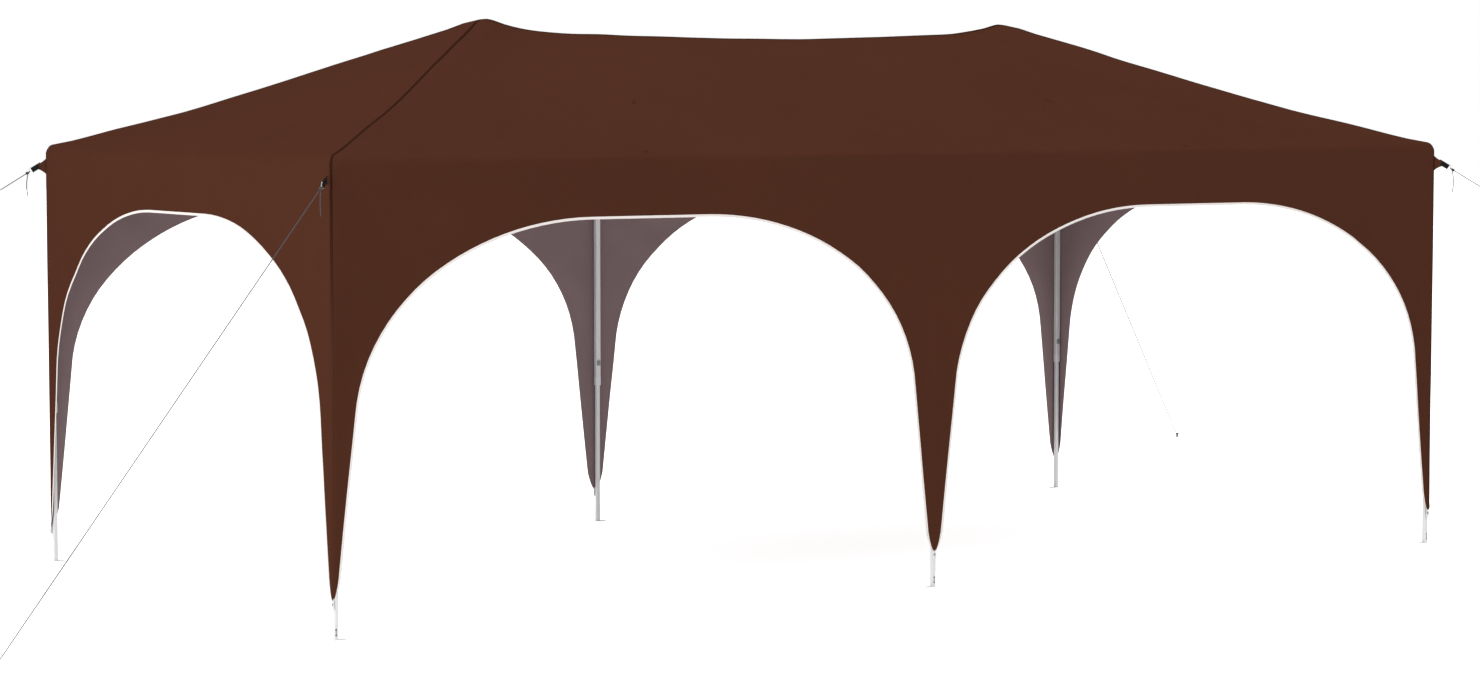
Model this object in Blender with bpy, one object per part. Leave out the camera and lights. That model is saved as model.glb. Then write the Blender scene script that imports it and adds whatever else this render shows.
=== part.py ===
"""Pop-up party tent, 3 by 6 metres, with two peaks and arched sides.

Units are metres and +Z is up. The origin is on the ground in the middle of the tent.
+X runs along the long side, and -Y is the front. Every leg stands on a bay corner.
"""

import math

import bmesh
import bpy
from mathutils import Matrix, Vector

# Plan of the frame: two square bays side by side
BAY = 2.95                    # leg centre to leg centre, the same both ways
HALF_LONG = BAY               # leg rows at x = -BAY, 0 and BAY
HALF_SHORT = BAY / 2          # leg rows at y = -BAY/2 and BAY/2
PEAK_X = BAY / 2              # the peaks stand over the middle of each bay
GAP = 0.0003                  # left between pieces that touch
PAST = 0.010                  # how far a cutter runs past the surface that it cuts

# Canopy cloth
CLOTH = 0.0025
FACE = 0.0175                 # leg centre line to the outer face of the side cloth
CORNER_R = 0.008              # outer corner radius in plan
FOLD_Z = 1.915                # where the side starts to turn into the roof
FOLD_R = 0.030                # radius of that turn
FOLD_ANGLE = math.radians(74)
PEAK_Z = 2.528
SLOPE_SAG = 0.26              # how far the slope hangs below a straight line
RIDGE_DROP = 0.040            # quick drop beside each peak
RIDGE_DROP_REACH = 0.19
RIDGE_DROP_POWER = 1.8
RIDGE_SAG = 0.037             # slow sag between the peaks

# Arch in the side cloth: heights, and distances from the leg centre line
TIP_Z = 0.165
TIP_END = (0.0325, 0.250)
SPRING = (0.107, 0.900)
SPRING_SLOPE = 0.0814         # sideways run for each unit of height
SPRING_HANDLE = 0.503
CROWN_HANDLE = 0.521
CROWN = (1.192, 1.685)
TIP_POWER = 1.65
CORNER_SHIFT = 0.004          # how much narrower a corner strip is than half a middle one

# Legs
UPPER_HALF = 0.0125
LOWER_HALF = 0.0095
TUBE_WALL = 0.0011
TUBE_EDGE = 0.002             # bevel along the corners of every tube
UPPER_BOTTOM = 0.715
UPPER_TOP = 1.900
LOWER_TOP = 1.150
LOWER_FLOOR = (0.0005, 0.0035)  # the foot closes the inner tube between these heights
COLLAR_BOTTOM = 0.700
COLLAR_TOP = 0.745
COLLAR_HALF = 0.0143
LOCK_HOLES = (0.832, 0.932)   # heights of the two holes for the height lock
LOCK_HOLE_R = 0.0038
FOOT_PLATE = (0.054, 0.026, 0.003)
FOOT_PLATE_LEAD = 0.016       # plate centre from the leg centre

# Scissor trusses
PIVOT_HIGH = 1.885
PIVOT_LOW = 1.715
PIVOT_AT_LEG = 0.035
BAR_HALF = 0.011
BAR_THICK = 0.010
BAR_SIDE = 0.0055             # bar centre to the truss plane
PIN_R = 0.004
PIN_HALF = 0.0138
CHEEK_HALF = 0.015
CHEEK = (0.0108, 0.0138)      # inner and outer face of a cheek plate
HUB_R = 0.030

# Fittings on the legs
FITTING_HALF = 0.0143
FITTING_BEVEL = 0.006
LUG_REACH = 0.052
BRACKET_SPAN = (1.862, 1.916)
SLIDER_SPAN = (1.694, 1.736)

# Middle poles
POLE_HALF = 0.010
POLE_BOTTOM = 1.675
CAP_R = 0.042
CAP_TOP = PEAK_Z - 0.014
CAP_HEIGHT = 0.024

# Guy lines
STAKE = (5.372, 3.374)
STAKE_R = 0.005
STAKE_HEAD_R = 0.011
STAKE_TOP = 0.030
TAB_Z = (1.817, 1.889)        # sewn edge of the corner tab
PULL_Z = 1.876                # where the line of the rope meets the corner
TAB_REACH = 0.040             # in plan
WEB_END = 0.080               # along the line, like the knot
KNOT_SPAN = (0.092, 0.114)
WEB_WIDTH = 0.024
WEB_THICK = 0.0032
GUY_CLEAR = 0.0012            # between the corner cloth and the tab
ROPE_R = 0.0022
KNOT_R = 0.0075
ROPE_END_Z = 0.016
TAIL_R = 0.0020
TAIL_DROP = 0.003             # below the knot where the tail starts
TAIL_LENGTH = 0.100
TAIL_BOW = 0.006
TAIL_POINTS = 16


# Setting up

def clear_scene():
    for obj in list(bpy.data.objects):
        bpy.data.objects.remove(obj, do_unlink=True)


def collection(name):
    group = bpy.data.collections.new(name)
    bpy.context.scene.collection.children.link(group)
    return group


def material(name, colour, roughness, metallic=0.0):
    surface = bpy.data.materials.new(name)
    surface.use_nodes = True
    shader = surface.node_tree.nodes["Principled BSDF"]
    shader.inputs["Base Color"].default_value = (*colour, 1.0)
    shader.inputs["Roughness"].default_value = roughness
    shader.inputs["Metallic"].default_value = metallic
    return surface


def add_object(name, mesh, surface, place=Matrix()):
    """A named piece of the tent that shows the given mesh at the given place."""
    obj = bpy.data.objects.new(name, mesh)
    if not mesh.materials:
        mesh.materials.append(surface)
    obj.matrix_world = place
    TENT.objects.link(obj)
    return obj


# Shaping

def block(low, high, bevel=0.0, bevel_axis=2):
    """A box between two corners, with its edges along one axis bevelled if asked."""
    bm = bmesh.new()
    size = Vector(high) - Vector(low)
    middle = (Vector(high) + Vector(low)) / 2
    bmesh.ops.create_cube(bm, size=1.0, matrix=Matrix.Translation(middle) @ Matrix.Diagonal((*size, 1.0)))
    if bevel:
        edges = [e for e in bm.edges if abs((e.verts[1].co - e.verts[0].co).normalized()[bevel_axis]) > 0.9]
        bmesh.ops.bevel(bm, geom=edges, offset=bevel, segments=2, profile=0.5, affect="EDGES")
    return finished(bm)


def rod(start, end, radius, sides=8, end_radius=None):
    """A round bar between two points, tapered if a second radius is given."""
    start, end = Vector(start), Vector(end)
    run = end - start
    turn = run.to_track_quat("Z", "Y").to_matrix().to_4x4()
    place = Matrix.Translation((start + end) / 2) @ turn
    bm = bmesh.new()
    bmesh.ops.create_cone(bm, cap_ends=True, segments=sides, radius1=radius,
                          radius2=radius if end_radius is None else end_radius,
                          depth=run.length, matrix=place)
    return finished(bm)


def flat_bar(start, end, side):
    """A flat bar with round ends, in the plane across Y, pinned at two points."""
    start, end = Vector(start), Vector(end)
    run = end - start
    half_length = run.length / 2 + BAR_HALF
    bm = bmesh.new()
    size = Matrix.Diagonal((2 * half_length, BAR_THICK, 2 * BAR_HALF, 1.0))
    bmesh.ops.create_cube(bm, size=1.0, matrix=size)
    edges = [e for e in bm.edges if abs(e.verts[1].co.y - e.verts[0].co.y) > BAR_THICK / 2]
    bmesh.ops.bevel(bm, geom=edges, offset=BAR_HALF * 0.96, segments=2, profile=0.5, affect="EDGES")
    slope = Matrix.Rotation(-math.atan2(run.z, run.x), 4, "Y")
    middle = (start + end) / 2 + Vector((0, side, 0))
    bmesh.ops.transform(bm, matrix=Matrix.Translation(middle) @ slope, verts=bm.verts)
    return finished(bm)


def finished(bm):
    """Turn a bmesh into a mesh with its faces pointing out."""
    bmesh.ops.recalc_face_normals(bm, faces=bm.faces)
    mesh = bpy.data.meshes.new("shape")
    bm.to_mesh(mesh)
    bm.free()
    return mesh


def turned(mesh, angle):
    """A copy of the mesh turned about Z."""
    copy = mesh.copy()
    copy.transform(Matrix.Rotation(angle, 4, "Z"))
    return copy


def combine(first, second, operation):
    """The union or the difference of two meshes."""
    body = bpy.data.objects.new("body", first)
    tool = bpy.data.objects.new("tool", second)
    CUTTERS.objects.link(body)
    CUTTERS.objects.link(tool)
    step = body.modifiers.new("step", "BOOLEAN")
    step.operation = operation
    step.object = tool
    bpy.context.view_layer.update()
    evaluated = body.evaluated_get(bpy.context.evaluated_depsgraph_get())
    result = bpy.data.meshes.new_from_object(evaluated)
    bpy.data.objects.remove(body)
    bpy.data.objects.remove(tool)
    return result


def fuse(meshes):
    """One closed body from meshes that overlap in a chain."""
    result = meshes[0]
    for mesh in meshes[1:]:
        result = combine(result, mesh, "UNION")
    return result


def thick_sheet(columns, rows, outer, inner):
    """A closed sheet with one side at outer(i, j) and the other at inner(i, j)."""
    bm = bmesh.new()
    bmesh.ops.create_grid(bm, x_segments=columns - 1, y_segments=rows - 1, size=0.5)
    column = bm.verts.layers.int.new("column")
    row = bm.verts.layers.int.new("row")
    for vert in bm.verts:
        vert[column] = round((vert.co.x + 0.5) * (columns - 1))
        vert[row] = round((vert.co.y + 0.5) * (rows - 1))
    grown = bmesh.ops.extrude_face_region(bm, geom=bm.faces[:])
    back = {v for v in grown["geom"] if isinstance(v, bmesh.types.BMVert)}
    for vert in bm.verts:
        side = inner if vert in back else outer
        vert.co = side(vert[column], vert[row])
    bmesh.ops.remove_doubles(bm, verts=bm.verts[:], dist=0.00001)
    return finished(bm)


# The arch line and the cloth

ARC = CORNER_R * math.pi / 4            # cloth from the corner seam to the flat of the side
FLAT_START = CORNER_R - FACE            # where the flat starts, from the leg centre line
LEAD_FADE = 0.15                        # length over which the corner's lean dies out


def arch_line(shift):
    """Points (distance from the leg centre line, height) from the cloth tip to the bay middle.

    The strip is narrower by the shift up to the spring of the arch, and the crown stays.
    """
    line = [(TIP_END[0] - shift, TIP_END[1]), (SPRING[0] - shift, SPRING[1])]
    start = Vector(line[1])
    lift = Vector((SPRING_SLOPE, 1.0)).normalized()
    crown = Vector(CROWN)
    one = start + lift * SPRING_HANDLE
    two = crown - Vector((CROWN_HANDLE, 0))
    steps = 10
    for k in range(1, steps + 1):
        t = k / steps
        point = (start * (1 - t) ** 3 + one * 3 * t * (1 - t) ** 2
                 + two * 3 * t * t * (1 - t) + crown * t ** 3)
        line.append((point.x, point.y))
    line.append((BAY / 2, CROWN[1]))
    return line


def half_side(kind):
    """Columns (cloth distance from the strip's middle line, bottom height) to the bay middle."""
    turn = ARC - FLAT_START if kind == "corner" else 0.0
    line = arch_line(FACE + CORNER_SHIFT if kind == "corner" else 0.0)
    tip_width = line[0][0] + turn
    first = GAP / 2
    if kind == "corner":
        tips = [first, ARC / 2, ARC, tip_width * 0.45, tip_width * 0.72]
    else:
        tips = [first, tip_width * 0.3, tip_width * 0.55, tip_width * 0.8]
    columns = [(w, TIP_Z + (TIP_END[1] - TIP_Z) * (w / tip_width) ** TIP_POWER) for w in tips]
    columns += [(d + turn, z) for d, z in line]
    return columns


def side_point(kind, w):
    """Plan point of the outer face, and its inward direction, seen from a leg at the origin.

    The side runs along +X and faces -Y. The direction moves one unit in from the face, and
    near a corner it also leans along the side, so that two sides meet at the hip seam.
    """
    if kind == "middle":
        return Vector((w, -FACE)), Vector((0.0, 1.0))
    if w < ARC:
        angle = math.radians(-135) + w / CORNER_R
        centre = Vector((FLAT_START, FLAT_START))
        return centre + CORNER_R * Vector((math.cos(angle), math.sin(angle))), Vector((1.0, 1.0))
    lean = max(0.0, 1.0 - (w - ARC) / LEAD_FADE)
    return Vector((FLAT_START + w - ARC, -FACE)), Vector((lean, 1.0))


def mirrored(point):
    return Vector((BAY - point.x, point.y))


def side_columns(left, right):
    """Columns of one bay's side: plan point, inward direction and bottom height."""
    columns = []
    for w, z in half_side(left):
        point, inward = side_point(left, w)
        columns.append((point, inward, z))
    for w, z in reversed(half_side(right)[:-1]):
        point, inward = side_point(right, w)
        columns.append((mirrored(point), Vector((-inward.x, inward.y)), z))
    return columns


FOLD_ANGLES = [FOLD_ANGLE * k / 3 for k in range(4)]


def valance(left, right):
    """One bay's side cloth with its arch, its leg strips and the turn towards the roof."""
    columns = side_columns(left, right)

    def point(i, j, depth):
        base, inward, bottom = columns[i]
        if j == 0:
            across, z = depth, bottom
        else:
            angle = FOLD_ANGLES[j - 1]
            radius = FOLD_R - depth
            across = FOLD_R - radius * math.cos(angle)
            z = FOLD_Z + radius * math.sin(angle)
        plan = base + inward * across
        return Vector((plan.x, plan.y, z))

    rows = 1 + len(FOLD_ANGLES)
    return thick_sheet(len(columns), rows, lambda i, j: point(i, j, 0.0), lambda i, j: point(i, j, CLOTH))


ROOF_START = FOLD_R * (1 - math.cos(FOLD_ANGLE)) + 0.0012
ROOF_START_Z = FOLD_Z + FOLD_R * math.sin(FOLD_ANGLE)
ROOF_STEPS = (0.0, 0.08, 0.18, 0.30, 0.45, 0.65, 0.85, 1.0)
ROOF_COLUMNS = (0.03, 0.06, 0.10, 0.16, 0.24, 0.36, 0.52, 0.75)
ROOF_CLOTH = CLOTH * 1.06     # measured straight down through the slope


def ridge_height(x):
    """Height of the ridge cloth between the peaks."""
    reach = max(0.0, PEAK_X - abs(x))
    drop = RIDGE_DROP * (1 - math.exp(-(reach / RIDGE_DROP_REACH) ** RIDGE_DROP_POWER))
    return PEAK_Z - drop - RIDGE_SAG * math.sin(math.pi / 2 * reach / PEAK_X)


def roof_panel(length, tops):
    """A roof panel over a side of the given length, whose columns end at the points tops(s)."""
    corner_steps = [GAP / 2, ARC / 2, ARC] + [length / 2 * share for share in ROOF_COLUMNS]
    half = [side_point("corner", w) for w in corner_steps]
    middle = [(Vector((length / 2, -FACE)), Vector((0.0, 1.0)))]
    base = half + middle + [(Vector((length - p.x, p.y)), Vector((-d.x, d.y))) for p, d in reversed(half)]
    width = base[-1][0].x - base[0][0].x

    def point(i, j, down):
        start, inward = base[i]
        low = start + inward * ROOF_START
        top = tops((start.x - base[0][0].x) / width)
        q = ROOF_STEPS[j]
        plan = low.lerp(top.xy, q)
        rise = q - SLOPE_SAG * q * (1 - q) ** 2
        return Vector((plan.x, plan.y, ROOF_START_Z + (top.z - ROOF_START_Z) * rise - down))

    rows = len(ROOF_STEPS)
    return thick_sheet(len(base), rows, lambda i, j: point(i, j, 0.0), lambda i, j: point(i, j, ROOF_CLOTH))


def long_roof_top(s):
    """A point of the ridge, seen from the leg at the start of the long side."""
    reach = PEAK_X - GAP
    x = -reach + 2 * reach * s
    return Vector((x + BAY, HALF_SHORT - GAP / 2, ridge_height(x)))


def end_roof_top(_s):
    """The peak, seen from the leg at the start of the short side."""
    return Vector((HALF_SHORT, PEAK_X - GAP, PEAK_Z))


# The frame

def upper_leg():
    """Outer tube with its collar at the foot end and the two lock holes on its +Y face."""
    inside = UPPER_HALF - TUBE_WALL
    low, high = (-UPPER_HALF, -UPPER_HALF, UPPER_BOTTOM), (UPPER_HALF, UPPER_HALF, UPPER_TOP)
    tube = block(low, high, bevel=TUBE_EDGE)
    collar = block((-COLLAR_HALF, -COLLAR_HALF, COLLAR_BOTTOM), (COLLAR_HALF, COLLAR_HALF, COLLAR_TOP),
                   bevel=FITTING_BEVEL)
    body = combine(tube, collar, "UNION")
    bore = block((-inside, -inside, COLLAR_BOTTOM - PAST), (inside, inside, UPPER_TOP + PAST))
    body = combine(body, bore, "DIFFERENCE")
    for z in LOCK_HOLES:
        hole = rod((0, 0, z), (0, UPPER_HALF + PAST, z), LOCK_HOLE_R, sides=12)
        body = combine(body, hole, "DIFFERENCE")
    return body


def lower_leg():
    """Inner tube on its foot plate, which reaches out towards +X."""
    inside = LOWER_HALF - TUBE_WALL
    floor_low, floor_high = LOWER_FLOOR
    tube = block((-LOWER_HALF, -LOWER_HALF, floor_low), (LOWER_HALF, LOWER_HALF, LOWER_TOP), bevel=TUBE_EDGE)
    bore = block((-inside, -inside, floor_high), (inside, inside, LOWER_TOP + PAST))
    tube = combine(tube, bore, "DIFFERENCE")
    length, width, thick = FOOT_PLATE
    low = (FOOT_PLATE_LEAD - length / 2, -width / 2, 0.0)
    high = (FOOT_PLATE_LEAD + length / 2, width / 2, thick)
    return combine(tube, block(low, high, bevel=0.005), "UNION")


def leg_fitting(span, directions):
    """A plastic block round the leg with a pair of cheeks towards each truss."""
    low, high = span
    half = FITTING_HALF
    body = block((-half, -half, low), (half, half, high), bevel=FITTING_BEVEL)
    cheek_low, cheek_high = (low + high) / 2 - CHEEK_HALF, (low + high) / 2 + CHEEK_HALF
    for angle in directions:
        for side in (-1, 1):
            near, far = sorted((side * CHEEK[0], side * CHEEK[1]))
            cheek = block((half - 0.004, near, cheek_low), (LUG_REACH, far, cheek_high))
            body = combine(body, turned(cheek, angle), "UNION")
    hole = UPPER_HALF + GAP
    bore = block((-hole, -hole, low - PAST), (hole, hole, min(high + PAST, UPPER_TOP + GAP)))
    return combine(body, bore, "DIFFERENCE")


def crossing(start_low, start_high, end_low, end_high):
    """Two flat bars that cross side by side, and the pin through them."""
    rising = flat_bar(start_low, end_high, BAR_SIDE)
    falling = flat_bar(start_high, end_low, -BAR_SIDE)
    middle = (Vector(start_low) + Vector(end_high)) / 2
    pin = rod(middle + Vector((0, -PIN_HALF, 0)), middle + Vector((0, PIN_HALF, 0)), PIN_R)
    return [rising, pin, falling]


def cheek_pair(x, z):
    """Two cheek plates and the pin that holds them to the bars between them."""
    plates = []
    for side in (-1, 1):
        near, far = sorted((side * CHEEK[0], side * CHEEK[1]))
        plates.append(block((x - CHEEK_HALF, near, z - CHEEK_HALF), (x + CHEEK_HALF, far, z + CHEEK_HALF)))
    reach = CHEEK[1] - 0.0005
    return [rod((x, -reach, z), (x, reach, z), PIN_R * 1.2)] + plates


def side_truss():
    """Two crossings end to end between two legs, with a jointed fitting in the middle."""
    near, middle, far = PIVOT_AT_LEG, BAY / 2, BAY - PIVOT_AT_LEG
    first = crossing((near, 0, PIVOT_LOW), (near, 0, PIVOT_HIGH), (middle, 0, PIVOT_LOW), (middle, 0, PIVOT_HIGH))
    second = crossing((middle, 0, PIVOT_LOW), (middle, 0, PIVOT_HIGH), (far, 0, PIVOT_LOW), (far, 0, PIVOT_HIGH))
    top = cheek_pair(middle, PIVOT_HIGH)
    bottom = cheek_pair(middle, PIVOT_LOW)
    return fuse(first + top + bottom + second)


def centre_arm():
    """One crossing from the middle pole out to the middle of a side truss, along +X."""
    near = HUB_R + 0.020
    plate_out = BAY / 2 - CHEEK[1] - GAP
    plate_in = plate_out - 0.010
    far = plate_in - 0.006
    pieces = crossing((near, 0, PIVOT_LOW), (near, 0, PIVOT_HIGH), (far, 0, PIVOT_LOW), (far, 0, PIVOT_HIGH))
    for z in (PIVOT_LOW, PIVOT_HIGH):
        pieces.append(block((plate_in, -CHEEK[1], z - CHEEK_HALF), (plate_out, CHEEK[1], z + CHEEK_HALF)))
    return fuse(pieces)


def centre_truss():
    """Four arms and the two hubs that the middle pole passes through."""
    hubs = []
    for z in (PIVOT_LOW, PIVOT_HIGH):
        hub = rod((0, 0, z - CHEEK_HALF), (0, 0, z + CHEEK_HALF), HUB_R, sides=16)
        for quarter in range(4):
            lug = block((0, -CHEEK[1], z - 0.012), (HUB_R + 0.014, CHEEK[1], z + 0.012))
            hub = combine(hub, turned(lug, quarter * math.pi / 2), "UNION")
        hubs.append(hub)
    arm = centre_arm()
    body = combine(arm, hubs[0], "UNION")
    body = combine(body, hubs[1], "UNION")
    for quarter in range(1, 4):
        body = combine(body, turned(arm, quarter * math.pi / 2), "UNION")
    hole = POLE_HALF + GAP
    low, high = PIVOT_LOW - CHEEK_HALF - PAST, PIVOT_HIGH + CHEEK_HALF + PAST
    bore = block((-hole, -hole, low), (hole, hole, high))
    return combine(body, bore, "DIFFERENCE")


def centre_pole():
    """The pole with the plastic cap that the peak of the canopy rests on."""
    pole_top = CAP_TOP - CAP_HEIGHT / 2
    pole = block((-POLE_HALF, -POLE_HALF, POLE_BOTTOM), (POLE_HALF, POLE_HALF, pole_top), bevel=TUBE_EDGE)
    cap = rod((0, 0, CAP_TOP - CAP_HEIGHT), (0, 0, CAP_TOP), CAP_R, sides=24, end_radius=CAP_R * 0.5)
    return combine(pole, cap, "UNION")


# Guy lines

def guy_route():
    """Upper end, lower end and plan direction of the guy line at the +X +Y corner."""
    seam = Vector((HALF_LONG + FACE - CORNER_R, HALF_SHORT + FACE - CORNER_R, 0.0))
    out = Vector((*STAKE, 0.0)) - seam
    length = out.length
    out.normalize()
    top = seam + out * (CORNER_R + GUY_CLEAR) + Vector((0, 0, PULL_Z))
    end = seam + out * (length - STAKE_R - ROPE_R - GAP) + Vector((0, 0, ROPE_END_Z))
    return top, end, out


def corner_tab(top, slope, across):
    """The sewn tab of cloth: a plate in the rope's plane that narrows to the webbing."""
    tip = top + slope * (TAB_REACH / slope.xy.length)
    bm = bmesh.new()
    bmesh.ops.create_cube(bm, size=1.0)
    for vert in bm.verts:
        side = across * math.copysign(CLOTH / 2, vert.co.x)
        upper = vert.co.z > 0
        if vert.co.y < 0:
            vert.co = Vector((top.x, top.y, TAB_Z[1] if upper else TAB_Z[0])) + side
        else:
            vert.co = tip + Vector((0, 0, WEB_WIDTH / 2 if upper else -WEB_WIDTH / 2)) + side
    return finished(bm)


def guy_line():
    """Sewn corner tab, webbing, knot and the taut rope down to the stake."""
    top, end, out = guy_route()
    slope = (end - top).normalized()
    across = Vector((-out.y, out.x, 0.0))
    web_from, web_to = top + slope * TAB_REACH, top + slope * WEB_END
    web = block((-WEB_THICK / 2, -WEB_WIDTH / 2, 0), (WEB_THICK / 2, WEB_WIDTH / 2, (web_to - web_from).length))
    axes = Matrix((across, slope.cross(across), slope)).transposed().to_4x4()
    web.transform(Matrix.Translation(web_from) @ axes)
    knot = rod(top + slope * KNOT_SPAN[0], top + slope * KNOT_SPAN[1], KNOT_R, sides=12, end_radius=KNOT_R * 0.7)
    rope = rod(web_to - slope * 0.004, end, ROPE_R)
    return fuse([rope, knot, web, corner_tab(top, slope, across)])


def guy_tail():
    """The free end of the rope, which hangs from the knot."""
    top, end, out = guy_route()
    slope = (end - top).normalized()
    knot = top + slope * (sum(KNOT_SPAN) / 2)
    curve = bpy.data.curves.new("tail", "CURVE")
    curve.dimensions = "3D"
    curve.bevel_depth = TAIL_R
    curve.bevel_resolution = 2
    curve.use_fill_caps = True
    spline = curve.splines.new("POLY")
    spline.points.add(TAIL_POINTS - 1)
    for k, point in enumerate(spline.points):
        t = k / (TAIL_POINTS - 1)
        place = knot + out * (TAIL_BOW * math.sin(math.pi * t))
        point.co = (place.x, place.y, knot.z - KNOT_R - TAIL_DROP - TAIL_LENGTH * t, 1.0)
    holder = bpy.data.objects.new("tail", curve)
    CUTTERS.objects.link(holder)
    bpy.context.view_layer.update()
    mesh = bpy.data.meshes.new_from_object(holder.evaluated_get(bpy.context.evaluated_depsgraph_get()))
    bpy.data.objects.remove(holder)
    bm = bmesh.new()
    bm.from_mesh(mesh)
    bmesh.ops.remove_doubles(bm, verts=bm.verts[:], dist=0.00001)
    return finished(bm)


def stake():
    """The part of the steel stake that stays above the ground."""
    shaft = rod((0, 0, 0), (0, 0, STAKE_TOP), STAKE_R, sides=12)
    head = rod((0, 0, STAKE_TOP - 0.008), (0, 0, STAKE_TOP), STAKE_HEAD_R, sides=16, end_radius=STAKE_HEAD_R * 0.8)
    return combine(shaft, head, "UNION")


def mirror_to(mesh, x_sign, y_sign):
    """A copy of a shape made at the +X +Y corner, moved to the corner with these signs."""
    copy = mesh.copy()
    copy.transform(Matrix.Diagonal((x_sign, y_sign, 1, 1)))
    if x_sign * y_sign < 0:
        copy.flip_normals()
    return copy


# Putting the tent together

def at(x, y, degrees=0.0):
    return Matrix.Translation((x, y, 0)) @ Matrix.Rotation(math.radians(degrees), 4, "Z")


def build_canopy(cloth):
    bays = {
        "valance_front_left": ("corner", "middle", at(-HALF_LONG, -HALF_SHORT)),
        "valance_front_right": ("middle", "corner", at(0, -HALF_SHORT)),
        "valance_right_end": ("corner", "corner", at(HALF_LONG, -HALF_SHORT, 90)),
        "valance_back_right": ("corner", "middle", at(HALF_LONG, HALF_SHORT, 180)),
        "valance_back_left": ("middle", "corner", at(0, HALF_SHORT, 180)),
        "valance_left_end": ("corner", "corner", at(-HALF_LONG, HALF_SHORT, -90)),
    }
    for name, (left, right, place) in bays.items():
        add_object(name, valance(left, right), cloth, place)
    add_object("roof_front", roof_panel(2 * BAY, long_roof_top), cloth, at(-HALF_LONG, -HALF_SHORT))
    add_object("roof_back", roof_panel(2 * BAY, long_roof_top), cloth, at(HALF_LONG, HALF_SHORT, 180))
    add_object("roof_right", roof_panel(BAY, end_roof_top), cloth, at(HALF_LONG, -HALF_SHORT, 90))
    add_object("roof_left", roof_panel(BAY, end_roof_top), cloth, at(-HALF_LONG, HALF_SHORT, -90))


# Each leg: place, where its trusses go, and the turn of its holes and of its foot
LEGS = {
    "front_left": ((-HALF_LONG, -HALF_SHORT), (0, 90), 0, 0),
    "front_middle": ((0, -HALF_SHORT), (0, 90, 180), 0, 180),
    "front_right": ((HALF_LONG, -HALF_SHORT), (90, 180), 0, 180),
    "back_left": ((-HALF_LONG, HALF_SHORT), (270, 0), 180, 0),
    "back_middle": ((0, HALF_SHORT), (180, 270, 0), 180, 0),
    "back_right": ((HALF_LONG, HALF_SHORT), (180, 270), 180, 180),
}


def build_legs(steel, plastic):
    upper, lower = upper_leg(), lower_leg()
    for name, ((x, y), trusses, hole_turn, foot_turn) in LEGS.items():
        directions = [math.radians(angle) for angle in trusses]
        add_object("upper_leg_" + name, upper, steel, at(x, y, hole_turn))
        add_object("lower_leg_" + name, lower, steel, at(x, y, foot_turn))
        add_object("top_bracket_" + name, leg_fitting(BRACKET_SPAN, directions), plastic, at(x, y))
        add_object("slider_" + name, leg_fitting(SLIDER_SPAN, directions), plastic, at(x, y))


def build_trusses(steel):
    truss = side_truss()
    places = {
        "truss_front_left": at(-HALF_LONG, -HALF_SHORT),
        "truss_front_right": at(0, -HALF_SHORT),
        "truss_back_left": at(-HALF_LONG, HALF_SHORT),
        "truss_back_right": at(0, HALF_SHORT),
        "truss_left_end": at(-HALF_LONG, -HALF_SHORT, 90),
        "truss_middle": at(0, -HALF_SHORT, 90),
        "truss_right_end": at(HALF_LONG, -HALF_SHORT, 90),
    }
    for name, place in places.items():
        add_object(name, truss, steel, place)
    centre, pole = centre_truss(), centre_pole()
    for name, x in (("left", -PEAK_X), ("right", PEAK_X)):
        add_object("centre_truss_" + name, centre, steel, at(x, 0))
        add_object("centre_pole_" + name, pole, steel, at(x, 0))


def build_guys(rope, steel):
    line, tail, peg = guy_line(), guy_tail(), stake()
    corners = {"front_left": (-1, -1), "front_right": (1, -1), "back_left": (-1, 1), "back_right": (1, 1)}
    for name, (x_sign, y_sign) in corners.items():
        add_object("guy_line_" + name, mirror_to(line, x_sign, y_sign), rope)
        add_object("guy_tail_" + name, mirror_to(tail, x_sign, y_sign), rope)
        add_object("stake_" + name, peg, steel, at(x_sign * STAKE[0], y_sign * STAKE[1]))


clear_scene()
TENT = collection("party_tent")
CUTTERS = collection("cutters")
build_canopy(material("canopy_fabric", (0.080, 0.026, 0.015), 0.85))
build_legs(material("frame_steel", (0.72, 0.71, 0.72), 0.40, 0.3),
           material("fitting_plastic", (0.03, 0.03, 0.03), 0.50))
build_trusses(bpy.data.materials["frame_steel"])
build_guys(material("guy_rope", (0.30, 0.30, 0.30), 0.90),
           material("stake_steel", (0.20, 0.20, 0.21), 0.45, 0.8))
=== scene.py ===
# %% [markdown]
# # Dressing a pop-up party tent
#
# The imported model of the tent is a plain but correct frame: square legs, scissor trusses, a cloth of
# ten solids and four guy lines. This lesson keeps its steel as it is, and makes everything that gives
# the real tent its look: one continuous canopy with its folds, pale binding along the arches, seams,
# straps, grommets, rivets and braided ropes, and a material for each of them.
#
# All sizes are in metres, +Z is up, and -Y is the front.

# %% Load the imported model
import math

import bmesh
import bpy
from mathutils import Matrix, Vector, noise


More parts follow.
